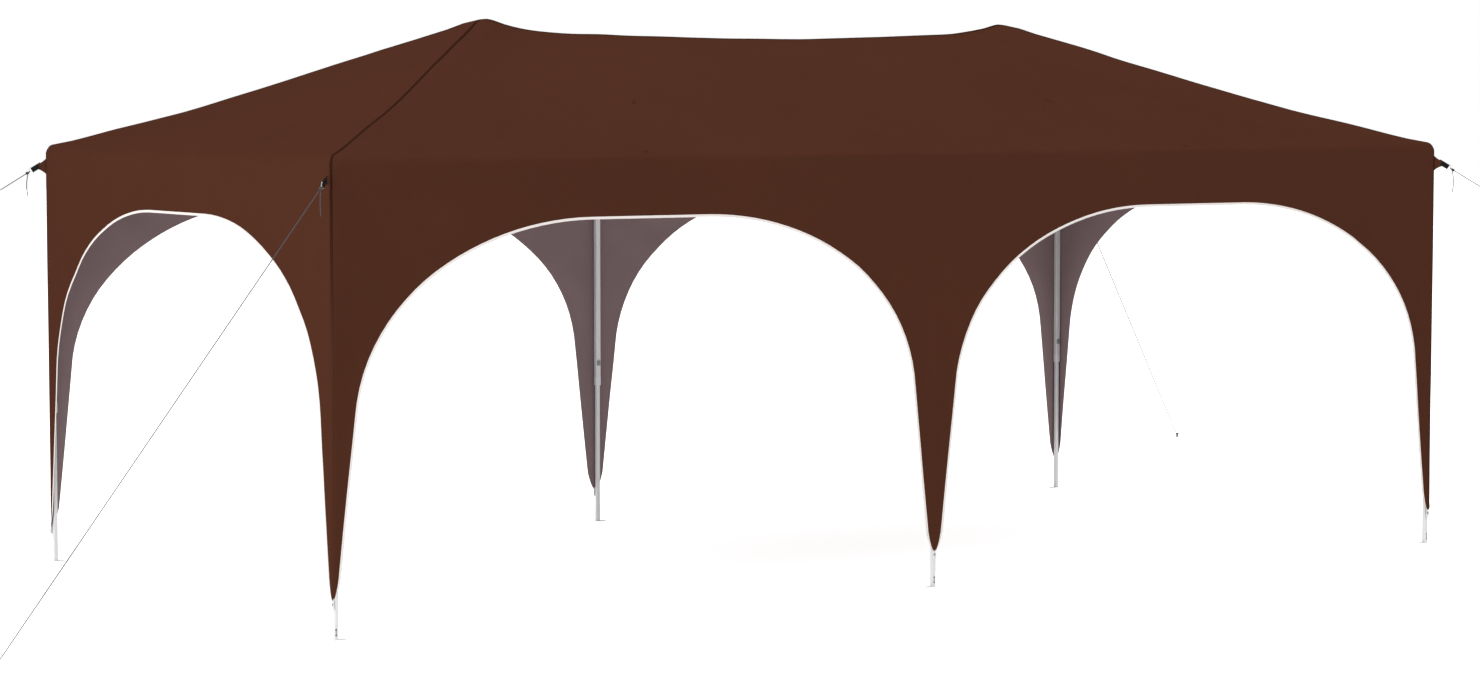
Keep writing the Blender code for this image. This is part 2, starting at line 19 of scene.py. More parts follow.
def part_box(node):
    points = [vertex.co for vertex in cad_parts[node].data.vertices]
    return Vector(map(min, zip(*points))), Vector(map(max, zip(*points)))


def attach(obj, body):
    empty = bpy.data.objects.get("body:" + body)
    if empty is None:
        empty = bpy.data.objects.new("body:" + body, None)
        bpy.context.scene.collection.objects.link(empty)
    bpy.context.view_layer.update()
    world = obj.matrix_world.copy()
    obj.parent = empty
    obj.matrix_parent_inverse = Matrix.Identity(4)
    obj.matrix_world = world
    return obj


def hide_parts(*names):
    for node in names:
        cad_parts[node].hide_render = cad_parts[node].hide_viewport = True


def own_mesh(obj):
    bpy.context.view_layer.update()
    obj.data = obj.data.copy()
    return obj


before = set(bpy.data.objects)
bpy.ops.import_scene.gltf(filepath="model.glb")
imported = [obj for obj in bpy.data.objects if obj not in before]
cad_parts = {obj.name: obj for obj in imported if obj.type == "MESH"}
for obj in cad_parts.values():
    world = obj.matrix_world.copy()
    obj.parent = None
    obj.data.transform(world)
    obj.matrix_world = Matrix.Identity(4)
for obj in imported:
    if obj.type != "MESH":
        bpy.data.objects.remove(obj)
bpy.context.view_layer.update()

# %% [markdown]
# ## The camera
#
# The photograph is taken from the front left, at about head height, with a long lens. The legs and the
# fold lines gave the place and the lens, so the camera needs no shift.

# %% Place the camera
PHOTO_WIDTH = 1480                     # pixels
PHOTO_FOCUS = 3683.4                   # focal length in pixels of the photograph
CAMERA_PLACE = (-9.501, -14.746, 2.231)
CAMERA_YAW, CAMERA_PITCH = math.radians(32.583), math.radians(-3.959)
SENSOR = 36.0                          # millimetres

lens = bpy.data.cameras.new("camera")
lens.sensor_width = SENSOR
lens.lens = SENSOR * PHOTO_FOCUS / PHOTO_WIDTH
camera = bpy.data.objects.new("camera", lens)
camera.location = CAMERA_PLACE
camera.rotation_euler = (math.pi / 2 + CAMERA_PITCH, 0.0, -CAMERA_YAW)
bpy.context.scene.collection.objects.link(camera)
bpy.context.scene.camera = camera
print("lens", round(lens.lens, 2), "mm")

# %% [markdown]
# ## Sizes that the frame gives
#
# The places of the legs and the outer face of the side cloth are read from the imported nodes. The
# curve of the arch and of the roof are repeated here, because they shape the new canopy.

# %% Read the driving sizes
LEGS = ("front_left", "front_middle", "front_right", "back_right", "back_middle", "back_left")
LEG_TURN = {"front_left": 0, "front_middle": 0, "front_right": 90,
            "back_right": 180, "back_middle": 180, "back_left": 270}


def leg_centre(leg):
    low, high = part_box("upper_leg_" + leg)
    return Vector(((low.x + high.x) / 2, (low.y + high.y) / 2, 0.0))


BAY = round(leg_centre("front_right").x, 4)
HALF = BAY / 2
FACE = round(-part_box("valance_front_left")[0].y - HALF, 4)     # leg centre to the outer face of the cloth
PEAK_Z = round(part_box("roof_front")[1].z, 4)
TIP_Z = round(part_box("valance_front_left")[0].z, 4)
CORNER_R = 0.008
FOLD_Z, FOLD_R, FOLD_ANGLE = 1.915, 0.030, math.radians(74)
SLOPE_SAG = 0.26
RIDGE_DROP, RIDGE_REACH, RIDGE_POWER, RIDGE_SAG = 0.040, 0.19, 1.8, 0.037
TIP_END, SPRING, CROWN = (0.0325, 0.250), (0.107, 0.900), (1.192, 1.685)
SPRING_SLOPE, SPRING_HANDLE, CROWN_HANDLE = 0.0814, 0.503, 0.521
TIP_POWER, CORNER_SHIFT, EDGE_LEAD = 2.1, 0.004, 0.0115
ARC = CORNER_R * math.pi / 4            # cloth from the corner seam to the flat of the side
FLAT_START = CORNER_R - FACE
print("bay", BAY, "cloth face", FACE, "peak", PEAK_Z, "cloth tip", TIP_Z)

# %% [markdown]
# ## Small helpers
#
# `wear` hands a piece to its body and its material slot. `sweep` pulls a closed outline along a line
# of stations, which is how ropes, tapes and straps are made: a rope is a circle, a tape a flat oval.
# Open ends are capped, and the UV map is in metres, so that a weave keeps its size.

# %% Make the helpers
def fade(start, end, value):
    """0 before start, 1 after end, and a smooth step between them."""
    t = min(1.0, max(0.0, (value - start) / (end - start)))
    return t * t * (3.0 - 2.0 * t)


def wear(obj, material, body="root"):
    obj.data.materials.clear()
    obj.data.materials.append(material)
    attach(obj, body)
    return obj


def new_object(name, bm):
    """An object at the origin from a bmesh, with smooth faces that point outwards."""
    bmesh.ops.recalc_face_normals(bm, faces=bm.faces[:])
    for face in bm.faces:
        face.smooth = True
    mesh = bpy.data.meshes.new(name)
    bm.to_mesh(mesh)
    bm.free()
    obj = bpy.data.objects.new(name, mesh)
    bpy.context.scene.collection.objects.link(obj)
    return obj


def run_lengths(points):
    """Distance along a line, from its first point to each of its points."""
    run = [0.0]
    for before, after in zip(points, points[1:]):
        run.append(run[-1] + (after - before).length)
    return run


def grid_face(bm, uv, points, k, j, along, across):
    """One face of a grid of points, with its UV from the distances along and across the grid."""
    cells = ((k, j), (k, j + 1), (k + 1, j + 1), (k + 1, j))
    face = bm.faces.new([points[a % len(points)][b % len(points[0])] for a, b in cells])
    for loop, (a, b) in zip(face.loops, cells):
        loop[uv].uv = (along[a], across[b])


def sweep(name, stations, outline, closed=False):
    """An outline of (across, up) points pulled along stations of (centre, across, up)."""
    bm = bmesh.new()
    uv = bm.loops.layers.uv.verify()
    rings = [[bm.verts.new(c + a * x + u * y) for x, y in outline] for c, a, u in stations]
    centres = [station[0] for station in stations]
    along = run_lengths(centres + centres[:1])
    around = run_lengths([Vector(point) for point in outline + outline[:1]])
    for k in range(len(rings) if closed else len(rings) - 1):
        for j in range(len(outline)):
            grid_face(bm, uv, rings, k, j, along, around)
    if not closed:
        bm.faces.new(rings[0][::-1])
        bm.faces.new(rings[-1])
    return new_object(name, bm)


def circle(radius, sides=10):
    turns = [2 * math.pi * k / sides for k in range(sides)]
    return [(radius * math.cos(t), radius * math.sin(t)) for t in turns]


def oval(width, height, steps=4):
    """A flat outline with round sides."""
    reach, radius = width / 2 - height / 2, height / 2
    right = [(reach + radius * math.cos(t), radius * math.sin(t))
             for t in (math.pi * k / steps - math.pi / 2 for k in range(steps + 1))]
    return right + [(-x, -y) for x, y in right]


def along_path(points, side=None):
    """Stations along a path, each turned as little as possible from the one before."""
    points = [Vector(p) for p in points]
    stations = []
    for k, point in enumerate(points):
        ahead = (points[min(k + 1, len(points) - 1)] - points[max(k - 1, 0)]).normalized()
        if side is None:
            side = ahead.orthogonal()
        side = (side - ahead * side.dot(ahead)).normalized()
        stations.append((point, side.copy(), ahead.cross(side)))
    return stations


def rope(name, points, radius, sides=10):
    return sweep(name, along_path(points), circle(radius, sides))


print("helpers ready")

# %% [markdown]
# ## Node helpers for the materials
#
# Every finish here is made of the same few effects. Each effect is one node group with named inputs,
# built once and placed in each material with its own values.

# %% Make the node helpers
def feed(tree, socket, value):
    """Give an input its value, or link another node's output to it."""
    if isinstance(value, bpy.types.NodeSocket):
        tree.links.new(value, socket)
    else:
        socket.default_value = value


def place_node(tree, kind, **settings):
    """A node whose inputs are set by name, either with a value or with another node's output."""
    node = tree.nodes.new(kind)
    for key, value in settings.items():
        if key in ("operation", "blend_type", "data_type"):
            setattr(node, key, value)
            continue
        socket = node.inputs[int(key[1:]) if key[0] == "i" and key[1:].isdigit() else key.replace("_", " ")]
        feed(tree, socket, value)
    return node


def math_node(tree, operation, a, b=0.0, c=0.0):
    return place_node(tree, "ShaderNodeMath", operation=operation, i0=a, i1=b, i2=c).outputs[0]


def new_group(name, inputs, outputs):
    tree = bpy.data.node_groups.new(name, "ShaderNodeTree")
    for label, kind, value in inputs:
        socket = tree.interface.new_socket(name=label, in_out="INPUT", socket_type=kind)
        if value is not None:
            socket.default_value = value
    for label, kind in outputs:
        tree.interface.new_socket(name=label, in_out="OUTPUT", socket_type=kind)
    return tree, tree.nodes.new("NodeGroupInput").outputs, tree.nodes.new("NodeGroupOutput").inputs


def use_group(tree, group, **inputs):
    node = tree.nodes.new("ShaderNodeGroup")
    node.node_tree = group
    for key, value in inputs.items():
        feed(tree, node.inputs[key.replace("_", " ")], value)
    return node.outputs


print("node helpers ready")

# %% [markdown]
# ## The effects
#
# A weave, soft mottling, creases, stitches and a braid. The woven ones are drawn from a UV map in
# metres, and the others from the place on the object.

# %% Build the effects
def weave_group():
    """Plain weave: threads that pass over and under each other, from a UV map in metres."""
    tree, given, result = new_group("plain_weave", (
        ("Place", "NodeSocketVector", None), ("Threads", "NodeSocketFloat", 900.0)),
        (("Height", "NodeSocketFloat"), ("Gaps", "NodeSocketFloat")))
    split = place_node(tree, "ShaderNodeSeparateXYZ", Vector=given["Place"])
    waves = []
    for axis in (0, 1):
        threads = math_node(tree, "MULTIPLY", split.outputs[axis], given["Threads"])
        turn = math_node(tree, "MULTIPLY", threads, math.pi)
        waves.append((math_node(tree, "SINE", turn), math_node(tree, "COSINE", turn)))
    over = math_node(tree, "MULTIPLY", waves[0][0], waves[1][0])
    crowns = math_node(tree, "ADD", *(math_node(tree, "ABSOLUTE", wave[0]) for wave in waves))
    height = math_node(tree, "ADD", *(math_node(tree, "MULTIPLY", part, 0.5) for part in (over, crowns)))
    tree.links.new(height, result["Height"])
    gaps = math_node(tree, "MULTIPLY", *(math_node(tree, "ABSOLUTE", wave[1]) for wave in waves))
    tree.links.new(gaps, result["Gaps"])
    return tree


def mottle_group():
    """A colour that drifts a little lighter and darker, in wide and in narrow patches."""
    tree, given, result = new_group("mottle", (
        ("Place", "NodeSocketVector", None), ("Colour", "NodeSocketColor", (0.5, 0.5, 0.5, 1.0)),
        ("Wide", "NodeSocketFloat", 2.0), ("Narrow", "NodeSocketFloat", 14.0),
        ("Amount", "NodeSocketFloat", 0.1)),
        (("Colour", "NodeSocketColor"), ("Mask", "NodeSocketFloat")))
    wide = place_node(tree, "ShaderNodeTexNoise", Vector=given["Place"], Scale=given["Wide"], Detail=3.0)
    narrow = place_node(tree, "ShaderNodeTexNoise", Vector=given["Place"], Scale=given["Narrow"], Detail=5.0)
    both = math_node(tree, "ADD", math_node(tree, "MULTIPLY", wide.outputs[0], 0.65),
                     math_node(tree, "MULTIPLY", narrow.outputs[0], 0.35))
    drift = math_node(tree, "MULTIPLY_ADD", math_node(tree, "SUBTRACT", both, 0.5),
                      math_node(tree, "MULTIPLY", given["Amount"], 4.0), 1.0)
    scaled = place_node(tree, "ShaderNodeVectorMath", operation="SCALE", i0=given["Colour"], Scale=drift)
    tree.links.new(scaled.outputs[0], result["Colour"])
    tree.links.new(both, result["Mask"])
    return tree


def crumple_group():
    """Soft creases of handled cloth: the ridges between wide, stretched cells of noise."""
    tree, given, result = new_group("crumple", (
        ("Place", "NodeSocketVector", None), ("Scale", "NodeSocketFloat", 3.0)),
        (("Height", "NodeSocketFloat"),))
    warp = place_node(tree, "ShaderNodeTexNoise", Vector=given["Place"], Scale=given["Scale"], Detail=2.0)
    bent = place_node(tree, "ShaderNodeVectorMath", operation="MULTIPLY_ADD", i0=warp.outputs["Color"],
                      i1=(0.22, 0.22, 0.22), i2=given["Place"])
    folds = place_node(tree, "ShaderNodeTexNoise", Vector=bent.outputs[0],
                       Scale=math_node(tree, "MULTIPLY", given["Scale"], 2.2), Detail=3.0, Roughness=0.45)
    tree.links.new(folds.outputs[0], result["Height"])
    return tree


def stitch_group():
    """Two rows of stitches along a tape, from a UV map with the length in U and the width in V."""
    tree, given, result = new_group("stitches", (
        ("Place", "NodeSocketVector", None), ("First row", "NodeSocketFloat", 0.003),
        ("Second row", "NodeSocketFloat", 0.009), ("Pitch", "NodeSocketFloat", 0.0045)),
        (("Mask", "NodeSocketFloat"),))
    split = place_node(tree, "ShaderNodeSeparateXYZ", Vector=given["Place"])
    rows = []
    for label in ("First row", "Second row"):
        off = math_node(tree, "ABSOLUTE", math_node(tree, "SUBTRACT", split.outputs[1], given[label]))
        rows.append(math_node(tree, "LESS_THAN", off, 0.0005))
    step = math_node(tree, "FRACT", math_node(tree, "DIVIDE", split.outputs[0], given["Pitch"]))
    dash = math_node(tree, "LESS_THAN", step, 0.72)
    either = math_node(tree, "MAXIMUM", rows[0], rows[1])
    tree.links.new(math_node(tree, "MULTIPLY", either, dash), result["Mask"])
    return tree


def braid_group():
    """Two crossing sets of slanted strands round a cord, from its UV map in metres."""
    tree, given, result = new_group("braid", (
        ("Place", "NodeSocketVector", None), ("Girth", "NodeSocketFloat", 0.0138),
        ("Pitch", "NodeSocketFloat", 0.007)),
        (("Height", "NodeSocketFloat"), ("Strand", "NodeSocketFloat")))
    split = place_node(tree, "ShaderNodeSeparateXYZ", Vector=given["Place"])
    along = math_node(tree, "DIVIDE", split.outputs[0], given["Pitch"])
    around = math_node(tree, "MULTIPLY", math_node(tree, "DIVIDE", split.outputs[1], given["Girth"]), 4.0)
    left, right = (math_node(tree, "SINE", math_node(tree, "MULTIPLY", math_node(tree, way, along, around),
                                                     2 * math.pi)) for way in ("ADD", "SUBTRACT"))
    height = math_node(tree, "MAXIMUM", left, right)
    tree.links.new(height, result["Height"])
    tree.links.new(math_node(tree, "GREATER_THAN", left, right), result["Strand"])
    return tree


WEAVE, MOTTLE, CRUMPLE = weave_group(), mottle_group(), crumple_group()
STITCHES, BRAID = stitch_group(), braid_group()
print("node groups:", ", ".join(group.name for group in bpy.data.node_groups))

# %% [markdown]
# ## The materials
#
# Cloth, tape, coated metal and cord each have one recipe, which every material of that kind shares.
# The canopy is coated polyester: matt, chocolate brown outside and a dull grey-mauve inside, where the
# coating shows. The binding is an off-white ribbed tape. The frame is powder-coated steel, its fittings
# are moulded nylon, and the ropes are braided.

# %% Write the recipes
def start_material(name, roughness=0.8, metallic=0.0, **plain):
    """A material with its Principled shader set, and the node places that it will use."""
    material = bpy.data.materials.new(name)
    material.use_nodes = True
    tree = material.node_tree
    shader = tree.nodes["Principled BSDF"]
    shader.inputs["Roughness"].default_value = roughness
    shader.inputs["Metallic"].default_value = metallic
    for key, value in plain.items():
        shader.inputs[key.replace("_", " ")].default_value = value
    where = tree.nodes.new("ShaderNodeTexCoord")
    return material, tree, shader, where.outputs["Object"], where.outputs["UV"]


def add_bump(tree, shader, layers):
    """Chain bump nodes, one for each (height, distance) pair."""
    normal = None
    for height, distance in layers:
        bump = place_node(tree, "ShaderNodeBump", Height=height, Distance=distance, Strength=1.0)
        if normal is not None:
            tree.links.new(normal, bump.inputs["Normal"])
        normal = bump.outputs[0]
    tree.links.new(normal, shader.inputs["Normal"])


def cloth_material(name, colour, roughness, amount, threads, gloss, crease):
    material, tree, shader, spot, uv = start_material(name, roughness, Specular_IOR_Level=gloss)
    tint = use_group(tree, MOTTLE, Place=spot, Colour=(*colour, 1.0), Wide=1.3, Narrow=9.0, Amount=amount)
    weave = use_group(tree, WEAVE, Place=uv, Threads=threads)
    darker = place_node(tree, "ShaderNodeMix", data_type="RGBA", blend_type="MULTIPLY", i0=0.18,
                        i6=tint["Colour"], i7=weave["Gaps"])
    tree.links.new(darker.outputs[2], shader.inputs["Base Color"])
    crumple = use_group(tree, CRUMPLE, Place=spot, Scale=2.4)
    add_bump(tree, shader, ((crumple["Height"], crease), (weave["Height"], 0.00006)))
    return material


def tape_material(name, colour, ribs, rows, pitch=0.0045, thread=(0.6, 0.57, 0.55), gloss=0.1):
    """A woven tape with ribs across it and rows of stitches along it."""
    material, tree, shader, spot, uv = start_material(name, 0.85, Specular_IOR_Level=gloss)
    tint = use_group(tree, MOTTLE, Place=spot, Colour=(*colour, 1.0), Wide=6.0, Narrow=60.0, Amount=0.05)
    stitches = use_group(tree, STITCHES, Place=uv, First_row=rows[0], Second_row=rows[1], Pitch=pitch)
    mixed = place_node(tree, "ShaderNodeMix", data_type="RGBA", i0=stitches["Mask"],
                       i6=tint["Colour"], i7=(*thread, 1.0))
    tree.links.new(mixed.outputs[2], shader.inputs["Base Color"])
    weave = use_group(tree, WEAVE, Place=uv, Threads=ribs)
    add_bump(tree, shader, ((weave["Height"], 0.00012), (stitches["Mask"], 0.0004)))
    return material


def coated_metal(name, colour, roughness, metallic, grain, wear_colour):
    """Powder coat or bare steel: fine orange peel, faint rubbed patches and a slight mottle."""
    material, tree, shader, spot, _ = start_material(name, roughness, metallic)
    tint = use_group(tree, MOTTLE, Place=spot, Colour=(*colour, 1.0), Wide=5.0, Narrow=45.0, Amount=0.06)
    rubbed = place_node(tree, "ShaderNodeTexNoise", Vector=spot, Scale=90.0, Detail=6.0, Roughness=0.7)
    spots = place_node(tree, "ShaderNodeMapRange", Value=rubbed.outputs[0])
    for key, value in (("From Min", 0.66), ("From Max", 0.74), ("To Min", 0.0), ("To Max", 0.5)):
        spots.inputs[key].default_value = value
    mixed = place_node(tree, "ShaderNodeMix", data_type="RGBA", i0=spots.outputs[0],
                       i6=tint["Colour"], i7=(*wear_colour, 1.0))
    tree.links.new(mixed.outputs[2], shader.inputs["Base Color"])
    rough = math_node(tree, "MULTIPLY_ADD", tint["Mask"], 0.25, roughness - 0.12)
    tree.links.new(rough, shader.inputs["Roughness"])
    peel = place_node(tree, "ShaderNodeTexNoise", Vector=spot, Scale=grain, Detail=3.0)
    add_bump(tree, shader, ((peel.outputs[0], 0.00025),))
    return material


def cord_material(name, colour, dark, girth):
    material, tree, shader, spot, uv = start_material(name, 0.8, Specular_IOR_Level=0.2)
    braid = use_group(tree, BRAID, Place=uv, Girth=girth, Pitch=0.006)
    strand = place_node(tree, "ShaderNodeMix", data_type="RGBA", i0=braid["Strand"], i6=(*colour, 1.0),
                        i7=(*dark, 1.0))
    tint = use_group(tree, MOTTLE, Place=spot, Wide=8.0, Narrow=120.0, Amount=0.08)
    tree.links.new(strand.outputs[2], tree.nodes[-1].inputs["Colour"])
    tree.links.new(tint["Colour"], shader.inputs["Base Color"])
    add_bump(tree, shader, ((braid["Height"], 0.0004),))
    return material


def other_below(material, colour, low, high):
    """Give a material another colour below a height, and fade it out up to a second height."""
    tree, shader = material.node_tree, material.node_tree.nodes["Principled BSDF"]
    spot = next(node for node in tree.nodes if node.type == "TEX_COORD").outputs["Object"]
    height = place_node(tree, "ShaderNodeSeparateXYZ", Vector=spot)
    upper = place_node(tree, "ShaderNodeMapRange", Value=height.outputs[2])
    upper.inputs["From Min"].default_value, upper.inputs["From Max"].default_value = low, high
    shaded = place_node(tree, "ShaderNodeMix", data_type="RGBA", i0=upper.outputs[0], i6=(*colour, 1.0),
                        i7=shader.inputs["Base Color"].links[0].from_socket)
    tree.links.new(shaded.outputs[2], shader.inputs["Base Color"])


print("recipes ready")

# %% [markdown]
# ## Their colours
#
# The brown was matched to the photograph under this light. The seams are darker than the cloth: painted shade
# for the shadow in each seam's groove, most of all along the hips, where the photograph shows thin dark
# lines.

# %% Mix the materials
BROWN = (0.0505, 0.0175, 0.0100)
# Below this range of heights the seams' painted shade fades to a lighter brown, where the seam lies flat.
SEAM_SHADE_FADE_Z = (1.15, 1.75)          # the seams are lighter below this range of heights
CANOPY = cloth_material("canopy_brown", BROWN, 0.78, 0.05, 700.0, 0.0, 0.0030)
INSIDE = cloth_material("canopy_coating", (0.173, 0.120, 0.124), 0.62, 0.05, 700.0, 0.15, 0.0030)
# The seam's dark brown and its darker thread are painted shade: the shadow in the groove along each seam.
SEAM_PAINTED_SHADE = tape_material("canopy_seam_painted_shade", tuple(0.42 * c for c in BROWN), 700.0, (0.0025, 0.0115),
                     thread=tuple(0.25 * c for c in BROWN), gloss=0.0)
other_below(SEAM_PAINTED_SHADE, tuple(0.86 * c for c in BROWN), *SEAM_SHADE_FADE_Z)
BINDING = tape_material("arch_tape", (0.52, 0.480, 0.462), 500.0, (0.0020, 0.0090))
WEBBING = tape_material("black_webbing", (0.007, 0.007, 0.0075), 420.0, (0.003, 0.021),
                        thread=(0.02, 0.02, 0.02), gloss=0.02)
FOOT_WEB = tape_material("white_strap", (0.52, 0.51, 0.51), 450.0, (0.0015, 0.0075))
STEEL = coated_metal("powder_coat", (0.50, 0.497, 0.507), 0.42, 0.10, 900.0, (0.42, 0.42, 0.43))
NYLON = coated_metal("moulded_nylon", (0.030, 0.030, 0.032), 0.55, 0.0, 1400.0, (0.06, 0.06, 0.062))
GREY_NYLON = coated_metal("grey_nylon", (0.17, 0.17, 0.175), 0.50, 0.0, 1400.0, (0.24, 0.24, 0.24))
ZINC = coated_metal("zinc_steel", (0.46, 0.45, 0.44), 0.35, 0.9, 500.0, (0.25, 0.24, 0.23))
DARK_STEEL = coated_metal("dark_steel", (0.07, 0.07, 0.075), 0.45, 0.6, 500.0, (0.16, 0.15, 0.14))
ROPE = cord_material("braided_cord", (0.062, 0.060, 0.062), (0.034, 0.033, 0.035), 0.0126)
print("materials:", len([m for m in bpy.data.materials if m.use_nodes]))

# %% [markdown]
# ## The guy lines' route
#
# Each guy line leaves a corner through a sewn tab, a loop of webbing and a metal ring, and runs taut to
# a stake. The free end of its rope hangs from the knot. The route is worked out once, at the back
# right corner, and mirrored to the others.

# %% Work out the guy lines
CORNERS = {"front_left": (-1, -1), "front_right": (1, -1), "back_left": (-1, 1), "back_right": (1, 1)}
STAKE_R, ROPE_R, KNOT_R, TAIL_R = 0.005, 0.0020, 0.0075, 0.0020
GAP, GUY_CLEAR = 0.0003, 0.0012
PULL_Z, TAB_Z = 1.876, (1.817, 1.889)
TAB_REACH, WEB_END, KNOT_SPAN = 0.040, 0.080, (0.092, 0.114)
WEB_WIDTH, ROPE_END_Z = 0.024, 0.016
TAIL_DROP, TAIL_LENGTH, TAIL_BOW, TAIL_POINTS = 0.003, 0.100, 0.006, 16

stake_low, stake_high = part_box("stake_back_right")
stake = Vector(((stake_low.x + stake_high.x) / 2, (stake_low.y + stake_high.y) / 2, 0.0))
seam = Vector((BAY + FACE - CORNER_R, HALF + FACE - CORNER_R, 0.0))
guy_out = (stake - seam).normalized()
guy_top = seam + guy_out * (CORNER_R + GUY_CLEAR) + Vector((0, 0, PULL_Z))
guy_end = stake - guy_out * (STAKE_R + ROPE_R + GAP) + Vector((0, 0, ROPE_END_Z))
guy_slope = (guy_end - guy_top).normalized()
guy_across = Vector((-guy_out.y, guy_out.x, 0.0))
guy_lift = guy_slope.cross(guy_across).normalized()
if guy_lift.z < 0:
    guy_lift.negate()
knot = guy_top + guy_slope * (sum(KNOT_SPAN) / 2)


def to_corner(points, corner):
    """The same points at another corner."""
    x_sign, y_sign = CORNERS[corner]
    return [Vector((p.x * x_sign, p.y * y_sign, p.z)) for p in points]


tail_route = []
for k in range(TAIL_POINTS):
    t = k / (TAIL_POINTS - 1)
    bow = guy_out * (TAIL_BOW * math.sin(math.pi * t))
    tail_route.append(Vector((knot.x, knot.y, knot.z - KNOT_R - TAIL_DROP - TAIL_LENGTH * t)) + bow)
print("taut rope", round((guy_end - guy_top).length, 3), "m, stake at", [round(v, 3) for v in stake])

# %% [markdown]
# ## The rope tails
#
# The tails are the only free cords. Each hangs from its knot with a slight bow, and ends in a flat cut.

# %% Hang the four rope tails
for corner in CORNERS:
    points = to_corner(tail_route, corner)
    tail = rope("rope_tail_" + corner, points, TAIL_R)
    wear(tail, ROPE)
    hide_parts("guy_tail_" + corner)
print("4 rope tails of", TAIL_LENGTH, "m")

# %% [markdown]
# ## The canopy
#
# On the real tent the roof and the sides are cut from flat cloth and sewn into one cover, which the
# frame stretches. Flat panels would look like cardboard, so the canopy is one continuous sheet here.
# Each leg has a grid of its own that starts at the point of cloth by the foot, widens up the strip,
# follows the arch to the middle of the bay on each side, turns over the edge of the roof, and ends at
# the ridge or at a peak. The six grids share their outer columns, so they grow into one mesh.

# %% Give the arch its curve
STRIP_COLUMNS = 38                     # from the leg's middle line to the middle of the bay
TIP_ROWS, STRIP_ROWS, ARCH_ROWS, CROWN_ROWS = 7, 13, 30, 6
FOLD_ROWS, ROOF_ROWS = 5, 30
LEG_LINE_TOP = 1.725                   # where the last row of the arch meets the leg's middle line
ROW_BOW = 0.10                         # how far that row rises above a straight line
ROOF_START = FOLD_R * (1 - math.cos(FOLD_ANGLE)) + 0.0012
ROOF_START_Z = FOLD_Z + FOLD_R * math.sin(FOLD_ANGLE)
TIP_SPREAD, LEG_ROW_POWER, ROOF_ROW_POWER = 1.3, 0.92, 1.15     # how rows crowd towards one end
LEAD_FADE = 0.15
CORNER_X = BAY + FACE - CORNER_R + CORNER_R * math.sqrt(0.5)
# How far each strip has slipped round its leg near the ground, to the right seen from outside
TWIST = {"front_left": -0.007, "front_middle": -0.004, "front_right": -0.014,
         "back_right": 0.006, "back_middle": 0.004, "back_left": -0.005}


def is_corner(leg):
    return not leg.endswith("middle")


def edge_size(z):
    """The tape and the cloth under it get narrower towards the tip."""
    return 0.36 + 0.64 * fade(0.0, 0.10, z - TIP_Z)


def even_points(line, count):
    """Points at even distances along a line."""
    reach = run_lengths(line)
    points = []
    for k in range(count + 1):
        goal = reach[-1] * k / count
        i = max(n for n in range(len(reach)) if reach[n] <= goal + 1e-9)
        if i < len(line) - 1:
            points.append(line[i].lerp(line[i + 1], (goal - reach[i]) / (reach[i + 1] - reach[i])))
        else:
            points.append(line[-1])
    return points


def arch_edge(leg):
    """Points (cloth distance from the leg's middle line, height) from the tip to the bay middle."""
    shift = FACE + CORNER_SHIFT if is_corner(leg) else 0.0
    turn = ARC - FLAT_START if is_corner(leg) else 0.0
    tip_width = TIP_END[0] - shift + turn
    edge = []
    for k in range(TIP_ROWS):
        share = (k / TIP_ROWS) ** TIP_SPREAD
        edge.append((tip_width * share, TIP_Z + (TIP_END[1] - TIP_Z) * share ** TIP_POWER))
    for k in range(STRIP_ROWS):
        share = k / STRIP_ROWS
        edge.append((TIP_END[0] + (SPRING[0] - TIP_END[0]) * share - shift + turn,
                     TIP_END[1] + (SPRING[1] - TIP_END[1]) * share))
    start = Vector((SPRING[0] - shift, SPRING[1]))
    one = start + Vector((SPRING_SLOPE, 1.0)).normalized() * SPRING_HANDLE
    crown = Vector(CROWN)
    two = crown - Vector((CROWN_HANDLE, 0.0))
    fine = []
    for k in range(201):
        t = k / 200
        fine.append(start * (1 - t) ** 3 + one * 3 * t * (1 - t) ** 2
                    + two * 3 * t * t * (1 - t) + crown * t ** 3)
    fine.append(Vector((HALF, CROWN[1])))
    edge += [(point.x + turn, point.y) for point in even_points(fine, ARCH_ROWS)]
    led = [(0.0, TIP_Z - EDGE_LEAD * edge_size(TIP_Z))]
    for k in range(1, len(edge)):
        before, after = edge[k - 1], edge[min(k + 1, len(edge) - 1)]
        along = (Vector(after) - Vector(before)).normalized()
        lead = EDGE_LEAD * edge_size(edge[k][1])
        led.append((edge[k][0] + along.y * lead, edge[k][1] - along.x * lead))
    led[-1] = (edge[-1][0], edge[-1][1] - EDGE_LEAD)
    return led


print("edge of a corner bay:", len(arch_edge("front_left")), "points")

# %% [markdown]
# ## Round the leg and up the roof
#
# The rows and columns of a grid need to know how the cloth turns round its leg, how high the ridge is,
# and how each row rises from the leg to the arch.

# %% Lay out the rows and columns
def round_leg(leg, s):
    """Plan point of the cloth's outer face and its inward direction, at a signed cloth distance.

    The leg stands at the origin, and the side to its right runs along +X and faces -Y.
    """
    if not is_corner(leg):
        return Vector((s, -FACE)), Vector((0.0, 1.0))
    w = abs(s)
    if w < ARC:
        angle = math.radians(-135) + w / CORNER_R
        centre = Vector((FLAT_START, FLAT_START))
        point = centre + CORNER_R * Vector((math.cos(angle), math.sin(angle)))
        inward = Vector((1.0, 1.0))
    else:
        point = Vector((FLAT_START + w - ARC, -FACE))
        inward = Vector((max(0.0, 1.0 - (w - ARC) / LEAD_FADE), 1.0))
    return (point, inward) if s >= 0 else (Vector((point.y, point.x)), Vector((inward.y, inward.x)))


def ridge_height(x):
    reach = max(0.0, HALF - abs(x))
    drop = RIDGE_DROP * (1 - math.exp(-(reach / RIDGE_REACH) ** RIDGE_POWER))
    return PEAK_Z - drop - RIDGE_SAG * math.sin(math.pi / 2 * reach / HALF)


